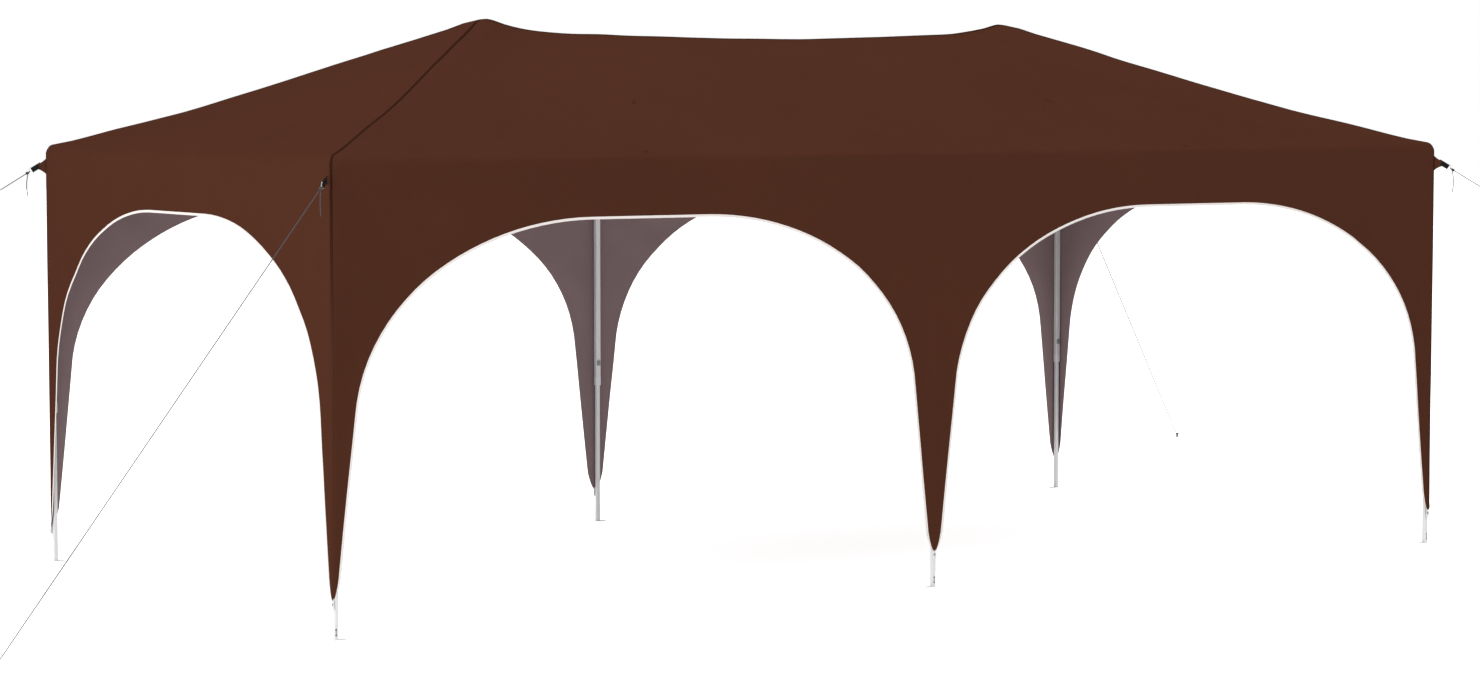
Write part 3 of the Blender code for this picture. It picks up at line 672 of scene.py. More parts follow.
def strip_rows(leg):
    """Each row of the side: cloth distance and height of its outer end, height at the leg, and bow.

    A row bows upwards on its way, so that it meets the flat top of the arch at an angle.
    """
    edge = arch_edge(leg)
    bend = TIP_ROWS + STRIP_ROWS
    rows = []
    for k, (w, z) in enumerate(edge):
        share = max(0.0, (k - bend) / ARCH_ROWS)
        leg_z = SPRING[1] + (LEG_LINE_TOP - SPRING[1]) * share ** LEG_ROW_POWER if share else z
        rows.append((w, z, leg_z, ROW_BOW * share ** 2))
    w = edge[-1][0]
    for k in range(1, CROWN_ROWS + 1):
        share = k / CROWN_ROWS
        rows.append((w, CROWN[1] + (FOLD_Z - CROWN[1]) * share,
                     LEG_LINE_TOP + (FOLD_Z - LEG_LINE_TOP) * share, ROW_BOW * (1 - share)))
    return rows


def column_place(k, width):
    """Cloth distance of a column from the leg's middle line, in a row of the given half width."""
    corner = min(ARC, width / 4)
    if k <= 3:
        return corner * k / 3
    share = (k - 3) / (STRIP_COLUMNS - 3)
    return corner + (width - corner) * (share - 0.10 * math.sin(2 * math.pi * share) / math.pi)


EDGE_ROWS = TIP_ROWS + STRIP_ROWS + ARCH_ROWS + 1
SIDE_ROWS = EDGE_ROWS + CROWN_ROWS
ALL_ROWS = SIDE_ROWS + FOLD_ROWS + ROOF_ROWS
print("rows", ALL_ROWS, "columns round the tent", 12 * STRIP_COLUMNS)

# %% [markdown]
# ## The folds
#
# The cloth is pulled at the legs, the peaks and the corners. Fans of shallow folds start at each of
# them, and slow noise in between keeps any large face from being flat. All of it is a few millimetres.

# %% Give the cloth its folds
CORNER_SLACK, CORNER_RISE, BRACKET_RISE, CAP_RISE = 0.004, 0.007, 0.006, 0.006
SWELL, OFF_FRAME = 0.020, 0.0004


def strip_width(z):
    """Roughly how far the arch's edge is from the leg at a height."""
    if z < SPRING[1]:
        share = max(0.0, (z - TIP_Z) / (SPRING[1] - TIP_Z))
        return 0.02 + (SPRING[0] - 0.02) * share
    share = min(1.0, (z - SPRING[1]) / (CROWN[1] - SPRING[1]))
    return SPRING[0] + (HALF - SPRING[0]) * share ** 3


def side_folds(place):
    """How far the side cloth stands off its smooth face."""
    long_side = abs(abs(place.y) - HALF - FACE) < 0.02
    along, origin = (place.x, place.y) if long_side else (place.y, place.x)
    if long_side:
        leg = min((-BAY, 0.0, BAY), key=lambda x: abs(along - x))
    else:
        leg = min((-HALF, HALF), key=lambda y: abs(along - y))
    gap, drop, z = abs(along - leg), FOLD_Z - place.z, place.z
    seed = Vector((leg * 3.1, origin * 5.3, 7.0 if along > leg else 2.0))
    spread = math.hypot(gap, drop)
    angle = math.atan2(gap, max(drop, 1e-4))
    wobble = noise.noise(Vector((spread * 2.0, angle * 2.0, 0.0)) + seed)
    pulls = math.sin(angle * 11.0 + wobble * 4.5 + seed.x)
    near_leg = fade(0.05, 0.22, spread) * (1 - fade(0.5, 1.0, spread))
    standing = 0.0024 * pulls * near_leg * fade(0.03, 0.10, gap)
    width = strip_width(z)
    hollow = math.sin(math.pi * min(1.0, gap / width)) * fade(0.22, 0.45, z) * (1 - fade(1.2, 1.5, z))
    standing -= 0.0026 * hollow * min(1.0, width / 0.10)
    hang = noise.noise(Vector((along * 3.3, drop * 0.8, origin)) + seed * 0.1)
    standing += 0.0045 * hang * fade(0.02, 0.26, drop) * fade(0.25, 0.6, gap)
    standing += 0.0020 * noise.noise(place * 5.0) * fade(0.03, 0.12, gap)
    return standing * fade(0.0, 0.06, z - TIP_Z)


def roof_folds(place):
    """How far the roof cloth stands off its smooth slope."""
    peak_x = math.copysign(HALF, place.x)
    away = Vector((place.x - peak_x, place.y))
    angle = math.atan2(away.y, away.x)
    wobble = noise.noise(Vector((math.cos(angle), math.sin(angle), 3.0 * away.length + peak_x)) * 1.7)
    standing = 0.0022 * math.sin(angle * 15.0 + 3.0 * wobble) * fade(0.05, 0.20, away.length)
    standing *= 1 - fade(0.35, 0.95, away.length)
    corner = Vector((math.copysign(BAY, place.x), math.copysign(HALF, place.y)))
    off = Vector((place.x, place.y)) - corner
    turn = math.atan2(abs(off.y), abs(off.x))
    pulls = math.sin(turn * 10.0 + 2.5 * noise.noise(place * 1.3)) * fade(0.08, 0.3, off.length)
    standing += 0.0022 * pulls * (1 - fade(0.5, 1.2, off.length))
    standing += 0.0050 * noise.noise(place * 1.5 + Vector((5.0, 0.0, 0.0)))
    standing += 0.0016 * noise.noise(place * 5.5)
    return standing * fade(0.0, 0.10, place.z - ROOF_START_Z)


def end_swell(place):
    """The cloth over each short side turns towards the roof in a broad, soft roll."""
    inward = BAY + FACE - abs(place.x)
    across = 1 - fade(0.85, 1.38, abs(place.y))
    return SWELL * across * fade(0.0, 0.13, inward) * (1 - fade(0.13, 0.52, inward))


def corner_slack(place):
    """The cloth is drawn in a little where it turns over the top of a corner leg."""
    away = math.hypot(BAY - abs(place.x), HALF - abs(place.y))
    height = fade(1.908, 1.950, place.z) * (1 - fade(1.955, 2.020, place.z))
    return -CORNER_SLACK * height * (1 - fade(0.03, 0.16, away))


def lift(place):
    """Each leg's top holds the roof up near its corner, and each pole's cap makes a peak blunt."""
    away = math.hypot(BAY + FACE - abs(place.x), HALF + FACE - abs(place.y))
    rise = CORNER_RISE * (1 - fade(0.25, 0.75, away)) + BRACKET_RISE * (1 - fade(0.05, 0.16, away))
    rise *= fade(1.920, 1.946, place.z)
    from_peak = math.hypot(HALF - abs(place.x), place.y)
    return rise + CAP_RISE * fade(0.0, 0.040, from_peak) * (1 - fade(0.045, 0.14, from_peak))


def folds(place):
    turn = fade(FOLD_Z - 0.01, ROOF_START_Z, place.z)
    roof = roof_folds(place) + end_swell(place)
    return (1 - turn) * side_folds(place) + turn * roof + corner_slack(place) + OFF_FRAME


sample = side_folds(Vector((-2.7, -HALF - FACE, 1.6)))
print("fold at the front of the first bay", round(sample * 1000, 2), "mm")

# %% [markdown]
# ## Building the sheet
#
# Every grid point first gets a smooth place on its leg, on the fold or on the roof. Points that fall
# together are one point, and the folds then move each of them along the cloth's own direction.

# %% Build the canopy
LEG_PLACE = {leg: Matrix.Translation(leg_centre(leg)) @ Matrix.Rotation(math.radians(LEG_TURN[leg]), 4, "Z")
             for leg in LEGS}


def twist(leg, z):
    return TWIST[leg] * (1 - fade(0.35, 1.25, z))


def smooth_place(leg, rows, column, row):
    """Place of a grid point before the folds, seen from the world, and its UV."""
    k, sign = abs(column), (1 if column >= 0 else -1)
    outer, outer_z, leg_z, bow = rows[min(row, SIDE_ROWS - 1)]
    w = column_place(k, outer)
    if row < SIDE_ROWS:
        share = w / outer if outer else 0.0
        z = leg_z + (outer_z - leg_z) * share + bow * 4 * share * (1 - share)
        point, _ = round_leg(leg, sign * w + twist(leg, z))
        place = LEG_PLACE[leg] @ Vector((point.x, point.y, z))
        return place, (sign * w, z)
    point, inward = round_leg(leg, sign * w)
    if row < SIDE_ROWS + FOLD_ROWS:
        angle = FOLD_ANGLE * (row - SIDE_ROWS + 1) / FOLD_ROWS
        across = FOLD_R * (1 - math.cos(angle))
        plan = point + inward * across
        place = LEG_PLACE[leg] @ Vector((plan.x, plan.y, FOLD_Z + FOLD_R * math.sin(angle)))
        return place, (sign * w, FOLD_Z + FOLD_R * angle)
    q = ((row - SIDE_ROWS - FOLD_ROWS + 1) / ROOF_ROWS) ** ROOF_ROW_POWER
    start = LEG_PLACE[leg] @ Vector((point.x, point.y, 0.0))
    plan = point + inward * ROOF_START
    low = LEG_PLACE[leg] @ Vector((plan.x, plan.y, 0.0))
    long_side = not is_corner(leg) or (sign > 0) == (leg in ("front_left", "back_right"))
    if long_side:
        x = start.x / CORNER_X * HALF
        top = Vector((x, 0.0, ridge_height(x)))
    else:
        top = Vector((math.copysign(HALF, start.x), 0.0, PEAK_Z))
    place = low.lerp(Vector((top.x, top.y, 0.0)), q)
    place.z = ROOF_START_Z + (top.z - ROOF_START_Z) * (q - SLOPE_SAG * q * (1 - q) ** 2)
    slope = math.hypot((place - low).xy.length, place.z - ROOF_START_Z)
    return place, (sign * w * (1 - q), ROOF_START_Z + slope)


cloth = bmesh.new()
cloth_uv = cloth.loops.layers.uv.new("cloth")
known = {}
grid = {}


def cloth_vert(place):
    key = tuple(round(v * 1e5) for v in place)
    if key not in known:
        known[key] = cloth.verts.new(place)
    return known[key]


for leg in LEGS:
    rows = strip_rows(leg)
    flat = {}
    for column in range(-STRIP_COLUMNS, STRIP_COLUMNS + 1):
        for row in range(ALL_ROWS):
            place, flat[column, row] = smooth_place(leg, rows, column, row)
            grid[leg, column, row] = cloth_vert(place)
    for column in range(-STRIP_COLUMNS, STRIP_COLUMNS):
        for row in range(ALL_ROWS - 1):
            corners = []
            for c, r in ((column, row), (column + 1, row), (column + 1, row + 1), (column, row + 1)):
                vert = grid[leg, c, r]
                if vert not in [v for v, _ in corners]:
                    corners.append((vert, flat[c, r]))
            if len(corners) < 3:
                continue
            face = cloth.faces.new([v for v, _ in corners])
            face.smooth = True
            for loop, (_, uv) in zip(face.loops, corners):
                loop[cloth_uv].uv = uv
bmesh.ops.recalc_face_normals(cloth, faces=cloth.faces[:])
if sum(f.normal.z for f in cloth.faces if f.calc_center_median().z > 2.2) < 0:
    bmesh.ops.reverse_faces(cloth, faces=cloth.faces[:])
cloth.normal_update()
steps = [(vert, vert.normal * folds(vert.co) + Vector((0, 0, lift(vert.co)))) for vert in cloth.verts]
for vert, step in steps:
    vert.co += step
cloth.normal_update()
surface = {key: (vert.co.copy(), vert.normal.copy()) for key, vert in grid.items()}
cloth_area = sum(face.calc_area() for face in cloth.faces)
print("canopy:", len(cloth.verts), "points,", round(cloth_area, 2), "square metres of cloth")

# %% [markdown]
# ## Thickness and lining
#
# The sheet gets its thickness inwards, so that its outer face stays. The inner face has the coating.

# %% Give the canopy its thickness and its lining
CLOTH_SHOWN = 0.0014
canopy_mesh = bpy.data.meshes.new("canopy")
cloth.to_mesh(canopy_mesh)
cloth.free()
canopy = bpy.data.objects.new("canopy", canopy_mesh)
bpy.context.scene.collection.objects.link(canopy)
canopy_mesh.materials.append(CANOPY)
canopy_mesh.materials.append(INSIDE)
bpy.ops.object.select_all(action="DESELECT")
bpy.context.view_layer.objects.active = canopy
canopy.select_set(True)
lining = canopy.modifiers.new("lining", "SOLIDIFY")
lining.thickness = CLOTH_SHOWN
lining.offset = -1.0
lining.material_offset = 1
bpy.ops.object.modifier_apply(modifier=lining.name)
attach(canopy, "root")
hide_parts(*[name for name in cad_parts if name.startswith(("roof_", "valance_"))])
print("canopy triangles", sum(len(p.vertices) - 2 for p in canopy.data.polygons))

# %% [markdown]
# ## The binding
#
# A pale tape, 11 mm wide, lies on the outer face along the edge of every arch, from the point of one
# strip up over the arch and down to the point of the next. It is swept along the canopy's own edge, so
# it follows every fold, and it gets narrower towards the tips.

# %% Bind the arches
TAPE_WIDTH, TAPE_THICK = 0.0110, 0.0016
TAPE_PAST_EDGE, TAPE_SUNK = 0.0007, 0.0005


def facing(leg, sign):
    """The way that the side to the right (1) or left (-1) of a leg faces."""
    local = Vector((-1, 0, 0)) if is_corner(leg) and sign < 0 else Vector((0, -1, 0))
    return LEG_PLACE[leg].to_3x3() @ local


def edge_stations(leg, sign):
    """Stations along one half of an arch, from the tip up, with the way out of the cloth."""
    line = [surface[leg, sign * STRIP_COLUMNS, row] for row in range(EDGE_ROWS)]
    stations = []
    for k, (place, normal) in enumerate(line):
        normal = normal.lerp(facing(leg, sign), min(1.0, k / 6)).normalized()
        ahead = line[min(k + 1, len(line) - 1)][0] - line[max(k - 1, 0)][0]
        out = ahead.cross(normal).normalized()
        from_leg = (place - surface[leg, 0, k][0]) * Vector((1, 1, 0))
        in_strip = 0 < k <= TIP_ROWS + STRIP_ROWS
        if (out.dot(from_leg) < 0) if in_strip else (out.z > 0):
            out.negate()
        stations.append((place, out, normal))
    return stations


for k, leg in enumerate(LEGS):
    following = LEGS[(k + 1) % len(LEGS)]
    stations = []
    for place, out, normal in edge_stations(leg, 1) + edge_stations(following, -1)[-2::-1]:
        size = edge_size(place.z)
        centre = place - out * (TAPE_WIDTH / 2 - TAPE_PAST_EDGE) * size
        stations.append((centre + normal * (TAPE_THICK / 2 - TAPE_SUNK), out * size, normal))
    tape = sweep("arch_binding_" + leg, stations, oval(TAPE_WIDTH, TAPE_THICK))
    wear(tape, BINDING)

# %% [markdown]
# ## The seams
#
# Four seams run from the points of the corner strips up the corners and along the hips to the peaks,
# and one runs along the ridge. Each is a folded allowance 14 mm wide that stands a little proud, with
# two rows of stitches. Inside, a light tape covers each seam.

# %% Sew the corner, hip and ridge seams
SEAM_HALF, SEAM_PROUD, SEAM_SUNK = 0.0070, 0.0012, 0.0004
SEAM_SIDE = 3                          # columns of points on each side of a seam's middle line
SIDE_COLUMN = 12                       # a column of the canopy well clear of the seam
INNER_TAPE_DROP = 0.0026


def seam_band(name, rows):
    """A closed band over rows of (place, normal) points, thickest in its middle."""
    bm = bmesh.new()
    uv = bm.loops.layers.uv.new("cloth")
    across = len(rows[0])
    rise = [SEAM_PROUD * (0.35 if k in (0, across - 1) else 1.0) for k in range(across)]
    top = [[bm.verts.new(p + n * h) for (p, n), h in zip(row, rise)] for row in rows]
    under = [[bm.verts.new(p - n * SEAM_SUNK) for p, n in row] for row in rows]
    along = run_lengths([row[across // 2][0] for row in rows])
    width = [2 * SEAM_HALF / (across - 1) * k for k in range(across)]
    for k in range(len(rows) - 1):
        for j in range(across - 1):
            for layer in (top, under):
                grid_face(bm, uv, layer, k, j, along, width)
        for j in (0, across - 1):
            bm.faces.new((top[k][j], under[k][j], under[k + 1][j], top[k + 1][j]))
    for k in (0, len(rows) - 1):
        for j in range(across - 1):
            bm.faces.new((top[k][j], top[k][j + 1], under[k][j + 1], under[k][j]))
    return new_object(name, bm)


def bent_row(place, ahead, left, right, up):
    """Points across a seam whose two sides fall away in different directions."""
    row = []
    for k in range(-SEAM_SIDE, SEAM_SIDE + 1):
        side = (left if k < 0 else right) - place
        side = (side - ahead * side.dot(ahead)).normalized()
        face = side.cross(ahead)
        if face.dot(up) < 0:
            face.negate()
        normal = up if k == 0 else face
        row.append((place + side * SEAM_HALF * abs(k) / SEAM_SIDE, normal.normalized()))
    return row


def from_below(rows):
    """The same rows on the inner face of the cloth."""
    drop = Vector((0, 0, INNER_TAPE_DROP))
    return [[(place - normal * CLOTH_SHOWN - drop, -normal) for place, normal in row] for row in rows]


first_roof, top_row = SIDE_ROWS + FOLD_ROWS - 1, ALL_ROWS - 1
for leg in filter(is_corner, LEGS):
    rows = [[surface[leg, column, row] for column in range(-SEAM_SIDE, SEAM_SIDE + 1)]
            for row in range(2, first_roof)]
    for row in range(first_roof, top_row):
        place, up = surface[leg, 0, row]
        ahead = (surface[leg, 0, row + 1][0] - surface[leg, 0, row - 1][0]).normalized()
        left, right = (surface[leg, column, row][0] for column in (-SIDE_COLUMN, SIDE_COLUMN))
        rows.append(bent_row(place, ahead, left, right, up))
    for share in (0.35, 0.7, 0.97):
        end = place.lerp(surface[leg, 0, top_row][0], share)
        rows.append(bent_row(end, ahead, left + end - place, right + end - place, up))
    # The seam bands wear the seam material, whose dark brown is painted shade.
    wear(seam_band("corner_seam_" + leg, rows), SEAM_PAINTED_SHADE)
    inner = seam_band("inner_tape_" + leg, from_below(rows[first_roof + 6:]))
    wear(inner, INSIDE)

ridge = []
for leg, first, last in (("front_left", 2, STRIP_COLUMNS), ("front_middle", 1 - STRIP_COLUMNS, STRIP_COLUMNS),
                         ("front_right", 1 - STRIP_COLUMNS, -2)):
    ridge += [surface[leg, column, top_row] for column in range(first, last + 1)]
rows = []
for k, (place, normal) in enumerate(ridge):
    ahead = (ridge[min(k + 1, len(ridge) - 1)][0] - ridge[max(k - 1, 0)][0]).normalized()
    drop = Vector((0.0, 0.0, -0.16))
    left, right = place + Vector((0, -0.4, 0)) + drop, place + Vector((0, 0.4, 0)) + drop
    rows.append(bent_row(place, ahead, left, right, normal))
wear(seam_band("ridge_seam", rows), SEAM_PAINTED_SHADE)
wear(seam_band("inner_tape_ridge", from_below(rows)), INSIDE)

# %% [markdown]
# ## The steel and plastic of the frame
#
# The frame's own solids have the right shapes already, so they stay and only get better materials.

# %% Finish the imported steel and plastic
FINISHES = {("upper_leg", "lower_leg", "truss", "centre_"): STEEL, ("top_bracket", "slider"): NYLON,
            ("stake",): DARK_STEEL}
for name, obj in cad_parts.items():
    for starts, material in FINISHES.items():
        if name.startswith(starts):
            obj.material_slots[0].material = material
print("packed nodes finished")

# %% [markdown]
# ## Round-headed fastenings
#
# Rivets, screws and lock buttons are all turned shapes. Each is modelled once, from a disc that is
# extruded and scaled step by step, and then copied to every place that it has on the frame.

# %% Turn a rivet, a screw and a lock button
def turned_piece(name, steps, sides=14):
    """A round piece from (radius, height) steps, with its base on the XY plane."""
    bpy.ops.object.select_all(action="DESELECT")
    bpy.ops.mesh.primitive_circle_add(vertices=sides, radius=steps[0][0], fill_type="NGON",
                                      location=(0, 0, steps[0][1]))
    piece = bpy.context.active_object
    piece.name = name
    bpy.ops.object.mode_set(mode="EDIT")
    bpy.ops.mesh.select_all(action="SELECT")
    for (radius, height), (before, low) in zip(steps[1:], steps):
        bpy.ops.mesh.extrude_region_move(TRANSFORM_OT_translate={"value": (0, 0, height - low)})
        bpy.ops.transform.resize(value=(radius / before, radius / before, 1.0))
    bpy.ops.mesh.select_all(action="SELECT")
    bpy.ops.mesh.normals_make_consistent(inside=False)
    bpy.ops.object.mode_set(mode="OBJECT")
    bpy.ops.object.transform_apply(location=True, rotation=True, scale=True)
    return piece


def turn_to(axis, place):
    """A matrix that takes a piece's +Z to an axis and its base to a place."""
    return Matrix.Translation(place) @ Vector(axis).to_track_quat("Z", "Y").to_matrix().to_4x4()


def repeat_piece(name, pattern, places):
    """Copies of a pattern at each of the places, joined into one object."""
    bpy.ops.object.select_all(action="DESELECT")
    for place in places:
        copy = bpy.data.objects.new(name, pattern.data.copy())
        bpy.context.scene.collection.objects.link(copy)
        copy.matrix_world = place
        copy.select_set(True)
        bpy.context.view_layer.objects.active = copy
    if len(places) > 1:
        bpy.ops.object.join()
    obj = bpy.context.active_object
    obj.name = name
    bpy.ops.object.transform_apply(location=True, rotation=True, scale=True)
    bpy.ops.object.shade_smooth_by_angle(angle=math.radians(40))
    return obj


RIVET = turned_piece("rivet_pattern", ((0.0055, 0.0), (0.0054, 0.0005), (0.0043, 0.0010), (0.0020, 0.0013)))
SCREW = turned_piece("screw_pattern", ((0.0040, 0.0), (0.0040, 0.0007), (0.0032, 0.0013), (0.0017, 0.0015),
                                       (0.0016, 0.0008)))
BUTTON = turned_piece("button_pattern", ((0.0033, 0.0), (0.0033, 0.0008), (0.0025, 0.0014), (0.0010, 0.0017)))
print("patterns:", RIVET.name, SCREW.name, BUTTON.name)

# %% [markdown]
# ## Rings
#
# The eyelet of a foot tab is a flattened torus. The guy line's ring is a D: the points of one half of a
# torus are moved onto a straight bar.

# %% Shape an eyelet and a ring
RING_RADIUS, RING_WIRE, RING_STEPS, RING_SIDES = 0.0135, 0.0016, 32, 8


def scale_points(scale):
    """Scale every point of the active piece about the origin, in edit mode."""
    bpy.ops.object.mode_set(mode="EDIT")
    bpy.ops.mesh.select_all(action="SELECT")
    bpy.ops.transform.resize(value=scale, center_override=(0, 0, 0))
    bpy.ops.object.mode_set(mode="OBJECT")


def torus_pattern(name, ring_radius, around):
    """A ring of wire in the XY plane."""
    bpy.ops.object.select_all(action="DESELECT")
    bpy.ops.mesh.primitive_torus_add(major_radius=ring_radius, minor_radius=RING_WIRE,
                                     major_segments=around, minor_segments=RING_SIDES)
    bpy.context.active_object.name = name
    return bpy.context.active_object


def pick(obj, kind, wanted):
    """Go to edit mode with only the wanted points (VERT), edges (EDGE) or faces (FACE) selected."""
    bpy.ops.object.select_all(action="DESELECT")
    bpy.context.view_layer.objects.active = obj
    obj.select_set(True)
    bpy.ops.object.mode_set(mode="EDIT")
    bpy.ops.mesh.select_mode(type=kind)
    bpy.ops.mesh.select_all(action="DESELECT")
    bpy.ops.object.mode_set(mode="OBJECT")
    parts = {"VERT": obj.data.vertices, "EDGE": obj.data.edges, "FACE": obj.data.polygons}[kind]
    for part in parts:
        part.select = wanted(part)
    bpy.ops.object.mode_set(mode="EDIT")


EYELET = torus_pattern("eyelet_pattern", 0.0042, 24)
scale_points((1.0, 1.0, 0.62))
RING = torus_pattern("ring_pattern", RING_RADIUS, RING_STEPS)
for k in range(RING_STEPS):
    turn = 2 * math.pi * k / RING_STEPS
    if math.cos(turn) > -1e-6:
        continue
    pick(RING, "VERT", lambda vertex: vertex.index // RING_SIDES == k)
    bpy.ops.transform.translate(value=(-RING_RADIUS * math.cos(turn), 0, 0))
    bpy.ops.object.mode_set(mode="OBJECT")
scale_points((1.2, 1.0, 1.0))
print("patterns:", EYELET.name, RING.name, [round(v, 4) for v in RING.dimensions])

# %% [markdown]
# ## The strap's clip
#
# A small flat bar presses the foot strap to the leg between two screws. The three are one piece. A dark
# disc of painted shade fills the eyelet, where the hole of the tab would show.

# %% Shape a small flat bar
SCREW_OFF = 0.0115                     # from the bar's middle to each screw


bpy.ops.object.select_all(action="DESELECT")
bpy.ops.mesh.primitive_cube_add(size=1.0, location=(0, 0, 0))
CLIP = bpy.context.active_object
CLIP.name = "clip_pattern"
bpy.ops.object.mode_set(mode="EDIT")
bpy.ops.transform.resize(value=(0.0026, 0.023, 0.0010))
bpy.ops.mesh.bevel(offset=0.0003, segments=2)
bpy.ops.object.mode_set(mode="OBJECT")
# The eyelet's dark disc is painted shade, standing for its hole.
HOLE_SHADE = turned_piece("hole_shade_pattern", ((0.0031, 0.0), (0.0031, 0.0003), (0.0012, 0.0004)))
SCREWED = repeat_piece("screwed_pattern", SCREW,
                       [Matrix.Translation((0, y, 0)) for y in (-SCREW_OFF, SCREW_OFF)])
CLIP.location.z = 0.0004
CLIP.select_set(True)
bpy.ops.object.join()
print("patterns:", SCREWED.name, HOLE_SHADE.name)

# %% [markdown]
# ## Rivets
#
# Every pivot of the trusses gets a rivet head on both faces of the bar.

# %% Rivet the trusses
PIVOT_HIGH, PIVOT_LOW, PIVOT_AT_LEG = 1.885, 1.715, 0.035
PIN_FACE = 0.0138                      # from the truss's middle plane to the outer face of a bar
ARM_NEAR, ARM_FAR = 0.050, HALF - 0.0301
TRUSSES = {name: Matrix.Translation((x, y, 0)) @ Matrix.Rotation(math.radians(degrees), 4, "Z")
           for name, x, y, degrees in (
               ("front_left", -BAY, -HALF, 0), ("front_right", 0, -HALF, 0), ("back_left", -BAY, HALF, 0),
               ("back_right", 0, HALF, 0), ("left_end", -BAY, -HALF, 90), ("middle", 0, -HALF, 90),
               ("right_end", BAY, -HALF, 90))}
cross_z = (PIVOT_HIGH + PIVOT_LOW) / 2
along_truss = [((PIVOT_AT_LEG + HALF) / 2, cross_z), (BAY - (PIVOT_AT_LEG + HALF) / 2, cross_z)]
along_truss += [(x, z) for x in (PIVOT_AT_LEG, HALF, BAY - PIVOT_AT_LEG) for z in (PIVOT_HIGH, PIVOT_LOW)]


def both_faces(start, spots):
    """Rivet places on both faces of a bar, at (distance, height) spots along it."""
    return [start @ turn_to((0, side, 0), (at, side * PIN_FACE, z)) for at, z in spots for side in (-1, 1)]


for name, start in TRUSSES.items():
    wear(repeat_piece("rivets_" + name, RIVET, both_faces(start, along_truss)), ZINC)
for name, x in (("left", -HALF), ("right", HALF)):
    places = []
    for quarter in range(4):
        arm = Matrix.Translation((x, 0, 0)) @ Matrix.Rotation(math.radians(90 * quarter), 4, "Z")
        places += both_faces(arm, [((ARM_NEAR + ARM_FAR) / 2, cross_z)])
    wear(repeat_piece("rivets_centre_" + name, RIVET, places), ZINC)
print("rivets on", len(TRUSSES) + 2, "trusses")

# %% [markdown]
# ## The feet
#
# Under the point of each strip a white tab with an eyelet is sewn on. A narrow white strap comes from
# behind it, runs down the outside of the leg and is held to the inner tube near the foot by a small bar
# with two screws. The strap keeps the cloth taut.

# %% Shape the tab and the strap
LOWER_HALF = 0.0095
EYELET_Z, STRAP_WIDTH, STRAP_THICK, STRAP_END_Z = 0.148, 0.0090, 0.0011, 0.015
SCREWS_Z = (0.045, 0.022)
STRAP_BESIDE = {"left": -0.0042, "middle": 0.0, "right": 0.0042}
STRAP_GAP, STRAP_BEHIND, EYE_IN = 0.0002, 0.0030, 0.0004
TAB_IN, TAB_BULGE, TAB_TOP, TAB_LENGTH = 0.0013, 0.0006, 0.012, 0.044
TAB_OUTLINE = oval(0.0190, 0.0014, 3)


def leg_sides(leg):
    """The way that a leg's strapped face looks, and how far beside its middle the strap lies."""
    out = Vector((0, -1 if leg.startswith("front") else 1, 0))
    return out, Vector((STRAP_BESIDE[leg.split("_")[1]], 0, 0))


def foot_tab(leg, tip, tip_out):
    """The white tab at the point of a strip, which is narrower at its top on a corner leg."""
    across = Vector((-tip_out.y, tip_out.x, 0))
    stations = []
    for k in range(9):
        t = k / 8
        off = tip_out * (-TAB_IN + TAB_BULGE * math.sin(math.pi * t))
        place = tip + off + Vector((0, 0, TAB_TOP - TAB_LENGTH * t))
        width = {7: 0.95, 8: 0.80}.get(k, 1.0)
        if is_corner(leg):
            width *= 0.55 + 0.45 * fade(0.15, 0.55, t)
        stations.append((place, across * width, tip_out))
    return sweep("foot_tab_" + leg, stations, TAB_OUTLINE)


def foot_strap(leg, high, tip_out, face, out):
    """The strap from behind the tab to the face of the leg, and down that face."""
    stations = []
    for k in range(25):
        t = k / 24
        z = EYELET_Z - 0.002 + (STRAP_END_Z - EYELET_Z) * t
        turn = fade(0.0, 0.30, t)
        place = Vector((high.x, high.y, z)).lerp(Vector((face.x, face.y, z)), turn)
        normal = tip_out.lerp(out, turn).normalized()
        stations.append((place, Vector((-normal.y, normal.x, 0)), normal))
    return sweep("foot_strap_" + leg, stations, oval(STRAP_WIDTH, STRAP_THICK, 2))


print("strap beside the middle of a leg:", STRAP_BESIDE)

# %% [markdown]
# ## Six feet
#
# Each foot gets its tab, eyelet, strap and screws. The screws ride on the inner tube.

# %% Fit the feet
for leg in LEGS:
    out, beside = leg_sides(leg)
    tip, tip_out = surface[leg, 0, 0]
    tip_out = Vector((tip_out.x, tip_out.y, 0)).normalized()
    wear(foot_tab(leg, tip, tip_out), FOOT_WEB)
    eye = Vector((tip.x, tip.y, EYELET_Z)) - tip_out * EYE_IN
    wear(repeat_piece("eyelet_" + leg, EYELET, [turn_to(tip_out, eye)]), DARK_STEEL)
    # A black disc of painted shade fills each eyelet's hole.
    wear(repeat_piece("eyelet_hole_shade_" + leg, HOLE_SHADE, [turn_to(tip_out, eye)]), WEBBING)
    face = leg_centre(leg) + out * (LOWER_HALF + STRAP_GAP + STRAP_THICK / 2) + beside
    strap = foot_strap(leg, eye - tip_out * STRAP_BEHIND, tip_out, face, out)
    wear(strap, FOOT_WEB)
    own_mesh(strap)
    head = leg_centre(leg) + out * (LOWER_HALF + STRAP_GAP + STRAP_THICK) + beside
    seat = turn_to(out, (head.x, head.y, sum(SCREWS_Z) / 2))
    wear(repeat_piece("foot_screws_" + leg, SCREWED, [seat]), DARK_STEEL, "leg_" + leg)
print("6 feet strapped")

# %% [markdown]
# ## The height locks
#
# A spring button in the inner tube snaps into a hole of the outer tube. Below the hole sits a small
# grey guide. The button rides on the inner tube, so at full height it shows in the upper hole.

# %% Make the lock guides and buttons
LOCK_Z, GUIDE_Z, GUIDE_SIZE = 0.832, 0.814, (0.019, 0.0020, 0.027)
UPPER_HALF = 0.0125
LOCK_RIVET_OUT, LOCK_RIVET_DROP = 0.0012, 0.007

